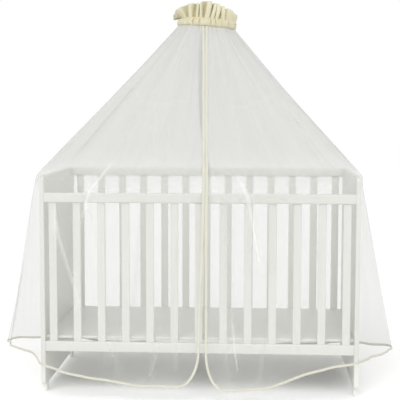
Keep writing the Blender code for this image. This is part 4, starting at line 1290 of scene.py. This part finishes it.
# ------------------------------------------------------------------ stage
def studio_floor(look):
    """Seamless studio paper: white and matt."""
    material, tree, shader = new_material("seamless_white_paper")
    place = node(tree, "ShaderNodeTexCoord").outputs["Object"]
    fibre = node(tree, "ShaderNodeTexNoise", {"Vector": place, "Scale": 3.0, "Detail": 3.0})
    tone = node(tree, "ShaderNodeMapRange", {"Value": fibre.outputs["Fac"], "To Min": 0.99,
                                             "To Max": 1.0})
    colour = node(tree, "ShaderNodeVectorMath",
                  {0: tuple(look.floor)[:3], "Scale": tone.outputs["Result"]}, operation="SCALE")
    feed(tree, shader, {"Base Color": colour.outputs["Vector"], "Roughness": 0.9,
                        "Specular IOR Level": 0.1})
    return material


FLOOR_SIDE = 30
FLOOR_GAP = 0.0005          # the floor lies this far under the feet
AIM_HEIGHT = 0.7            # the lamps point this far above the floor under the cot's middle

# Large soft lamps: where each stands from the floor under the cot's middle, its share of the key
# light's strength and the angle that it fills, in degrees.
LAMPS = (
    ("large_soft_lamp", (-0.3, -3.2, 4.4), 1.00, 38),
    ("left_soft_lamp", (-4.2, -2.0, 2.6), 0.30, 60),
    ("right_soft_lamp", (4.2, -2.0, 2.6), 0.30, 60),
)


def build_stage(look):
    """The floor, the white surround and the lamps."""
    deselect()
    bpy.ops.mesh.primitive_plane_add(size=FLOOR_SIDE, location=(0, 0, -FLOOR_GAP))
    floor = bpy.context.object
    floor.name = "studio_floor"
    floor.data.materials.append(studio_floor(look))

    world = bpy.data.worlds.new("white_surround")
    bpy.context.scene.world = world
    world.use_nodes = True
    tree = world.node_tree
    way = node(tree, "ShaderNodeTexCoord").outputs["Generated"]
    split = node(tree, "ShaderNodeSeparateXYZ", {"Vector": way})
    ceiling = node(tree, "ShaderNodeMapRange",      # white walls, a duller ceiling
                   {"Value": split.outputs["Z"], "From Min": 0.30, "From Max": 0.85,
                    "To Min": look.sky, "To Max": look.sky * 0.48})
    feed(tree, tree.nodes["Background"], {"Color": linear("FFFFFF"),
                                          "Strength": ceiling.outputs["Result"]})

    for name, place, share, angle in LAMPS:
        lamp = bpy.data.lights.new(name, "SUN")
        lamp.angle = math.radians(angle)
        lamp.energy = look.key * share
        holder = bpy.data.objects.new(name, lamp)
        bpy.context.scene.collection.objects.link(holder)
        holder.location = COT + Vector(place)
        aim = COT + Vector((0.0, 0.0, AIM_HEIGHT)) - holder.location
        holder.rotation_euler = aim.to_track_quat("-Z", "Y").to_euler()


def build_camera():
    """The camera that was fitted to the photo."""
    forward = Vector((-math.sin(CAMERA_YAW) * math.cos(CAMERA_PITCH),
                      math.cos(CAMERA_YAW) * math.cos(CAMERA_PITCH), -math.sin(CAMERA_PITCH)))
    right = Vector((math.cos(CAMERA_YAW), math.sin(CAMERA_YAW), 0))
    up = right.cross(forward)
    rolled = Matrix.Rotation(-CAMERA_ROLL, 3, forward)
    right = rolled @ right
    up = rolled @ up
    camera = bpy.data.cameras.new("photo_view")
    camera.lens = LENS
    camera.sensor_width = SENSOR
    holder = bpy.data.objects.new("photo_view", camera)
    bpy.context.scene.collection.objects.link(holder)
    turn = Matrix((right, up, -forward)).transposed().to_4x4()
    holder.matrix_world = Matrix.Translation(COT + CAMERA_PLACE) @ turn
    bpy.context.scene.camera = holder


# ------------------------------------------------------------------ operators
class CANOPY_OT_net(bpy.types.Operator):
    """Hang the sheer net and bind its edges"""
    bl_idname = "canopy.net"
    bl_label = "Net and Binding"

    def execute(self, context):
        drape = Drape(context.scene.canopy_net)
        build_net(context.scene.canopy_net, drape)
        build_binding(context.scene.canopy_trim, drape)
        return {"FINISHED"}


class CANOPY_OT_heading(bpy.types.Operator):
    """Sew the frilled heading"""
    bl_idname = "canopy.heading"
    bl_label = "Heading"

    def execute(self, context):
        build_heading(context.scene.canopy_heading)
        return {"FINISHED"}


class CANOPY_OT_holder(bpy.types.Operator):
    """Make the hoop, pole and saddle"""
    bl_idname = "canopy.holder"
    bl_label = "Holder"

    def execute(self, context):
        look = context.scene.canopy_cot
        coat = powder_coat(look)
        build_pole(coat)
        build_hoop(coat)
        build_bracket(coat)
        build_collar(coat)
        build_saddle(coat)
        build_knob(moulded_plastic(look))
        return {"FINISHED"}


class CANOPY_OT_cot(bpy.types.Operator):
    """Make the painted cot that the net falls over"""
    bl_idname = "canopy.cot"
    bl_label = "Cot"

    def execute(self, context):
        look = context.scene.canopy_cot
        upright = white_paint(look, "rolled_lacquer_upright", (60.0, 60.0, 3.0))
        level = white_paint(look, "rolled_lacquer_level", (3.0, 60.0, 60.0))
        plastic = moulded_plastic(look)
        for side in ("left", "right"):
            build_end_panel(side, upright)
            for end in ("front", "back"):
                build_foot("foot_%s_%s" % (end, side), plastic)
        for end in ("front", "back"):
            build_rail(end + "_top_rail", level)
            build_rail(end + "_bottom_rail", level)
            build_slats(end, upright)
        build_base(level)
        return {"FINISHED"}


class CANOPY_OT_stage(bpy.types.Operator):
    """Set the floor, the light and the camera"""
    bl_idname = "canopy.stage"
    bl_label = "Stage"

    def execute(self, context):
        build_stage(context.scene.canopy_studio)
        build_camera()
        return {"FINISHED"}


class CANOPY_PT_panel(bpy.types.Panel):
    """Everything the canopy is made of, in the sidebar"""
    bl_idname = "CANOPY_PT_panel"
    bl_label = "Net Canopy"
    bl_space_type = "VIEW_3D"
    bl_region_type = "UI"
    bl_category = "Net Canopy"

    def draw(self, context):
        for group in ("net", "trim", "heading", "cot", "studio"):
            settings = getattr(context.scene, "canopy_" + group)
            box = self.layout.box()
            box.label(text=group.capitalize())
            for name in settings.__annotations__:
                box.prop(settings, name)
        for operator in OPERATORS:
            self.layout.operator(operator.bl_idname)


SETTINGS = {"canopy_net": NetSettings, "canopy_trim": TrimSettings,
            "canopy_heading": HeadingSettings, "canopy_cot": CotSettings,
            "canopy_studio": StudioSettings}
OPERATORS = (CANOPY_OT_stage, CANOPY_OT_cot, CANOPY_OT_holder, CANOPY_OT_heading, CANOPY_OT_net)


def register():
    for name, group in SETTINGS.items():
        bpy.utils.register_class(group)
        setattr(bpy.types.Scene, name, PointerProperty(type=group))
    for operator in OPERATORS:
        bpy.utils.register_class(operator)
    bpy.utils.register_class(CANOPY_PT_panel)


def unregister():
    bpy.utils.unregister_class(CANOPY_PT_panel)
    for operator in reversed(OPERATORS):
        bpy.utils.unregister_class(operator)
    for name, group in SETTINGS.items():
        delattr(bpy.types.Scene, name)
        bpy.utils.unregister_class(group)


def main():
    register()
    bpy.context.scene.view_settings.view_transform = "Standard"
    bpy.ops.canopy.stage()
    bpy.ops.canopy.cot()
    bpy.ops.canopy.holder()
    bpy.ops.canopy.heading()
    bpy.ops.canopy.net()


if __name__ == "__main__":
    main()
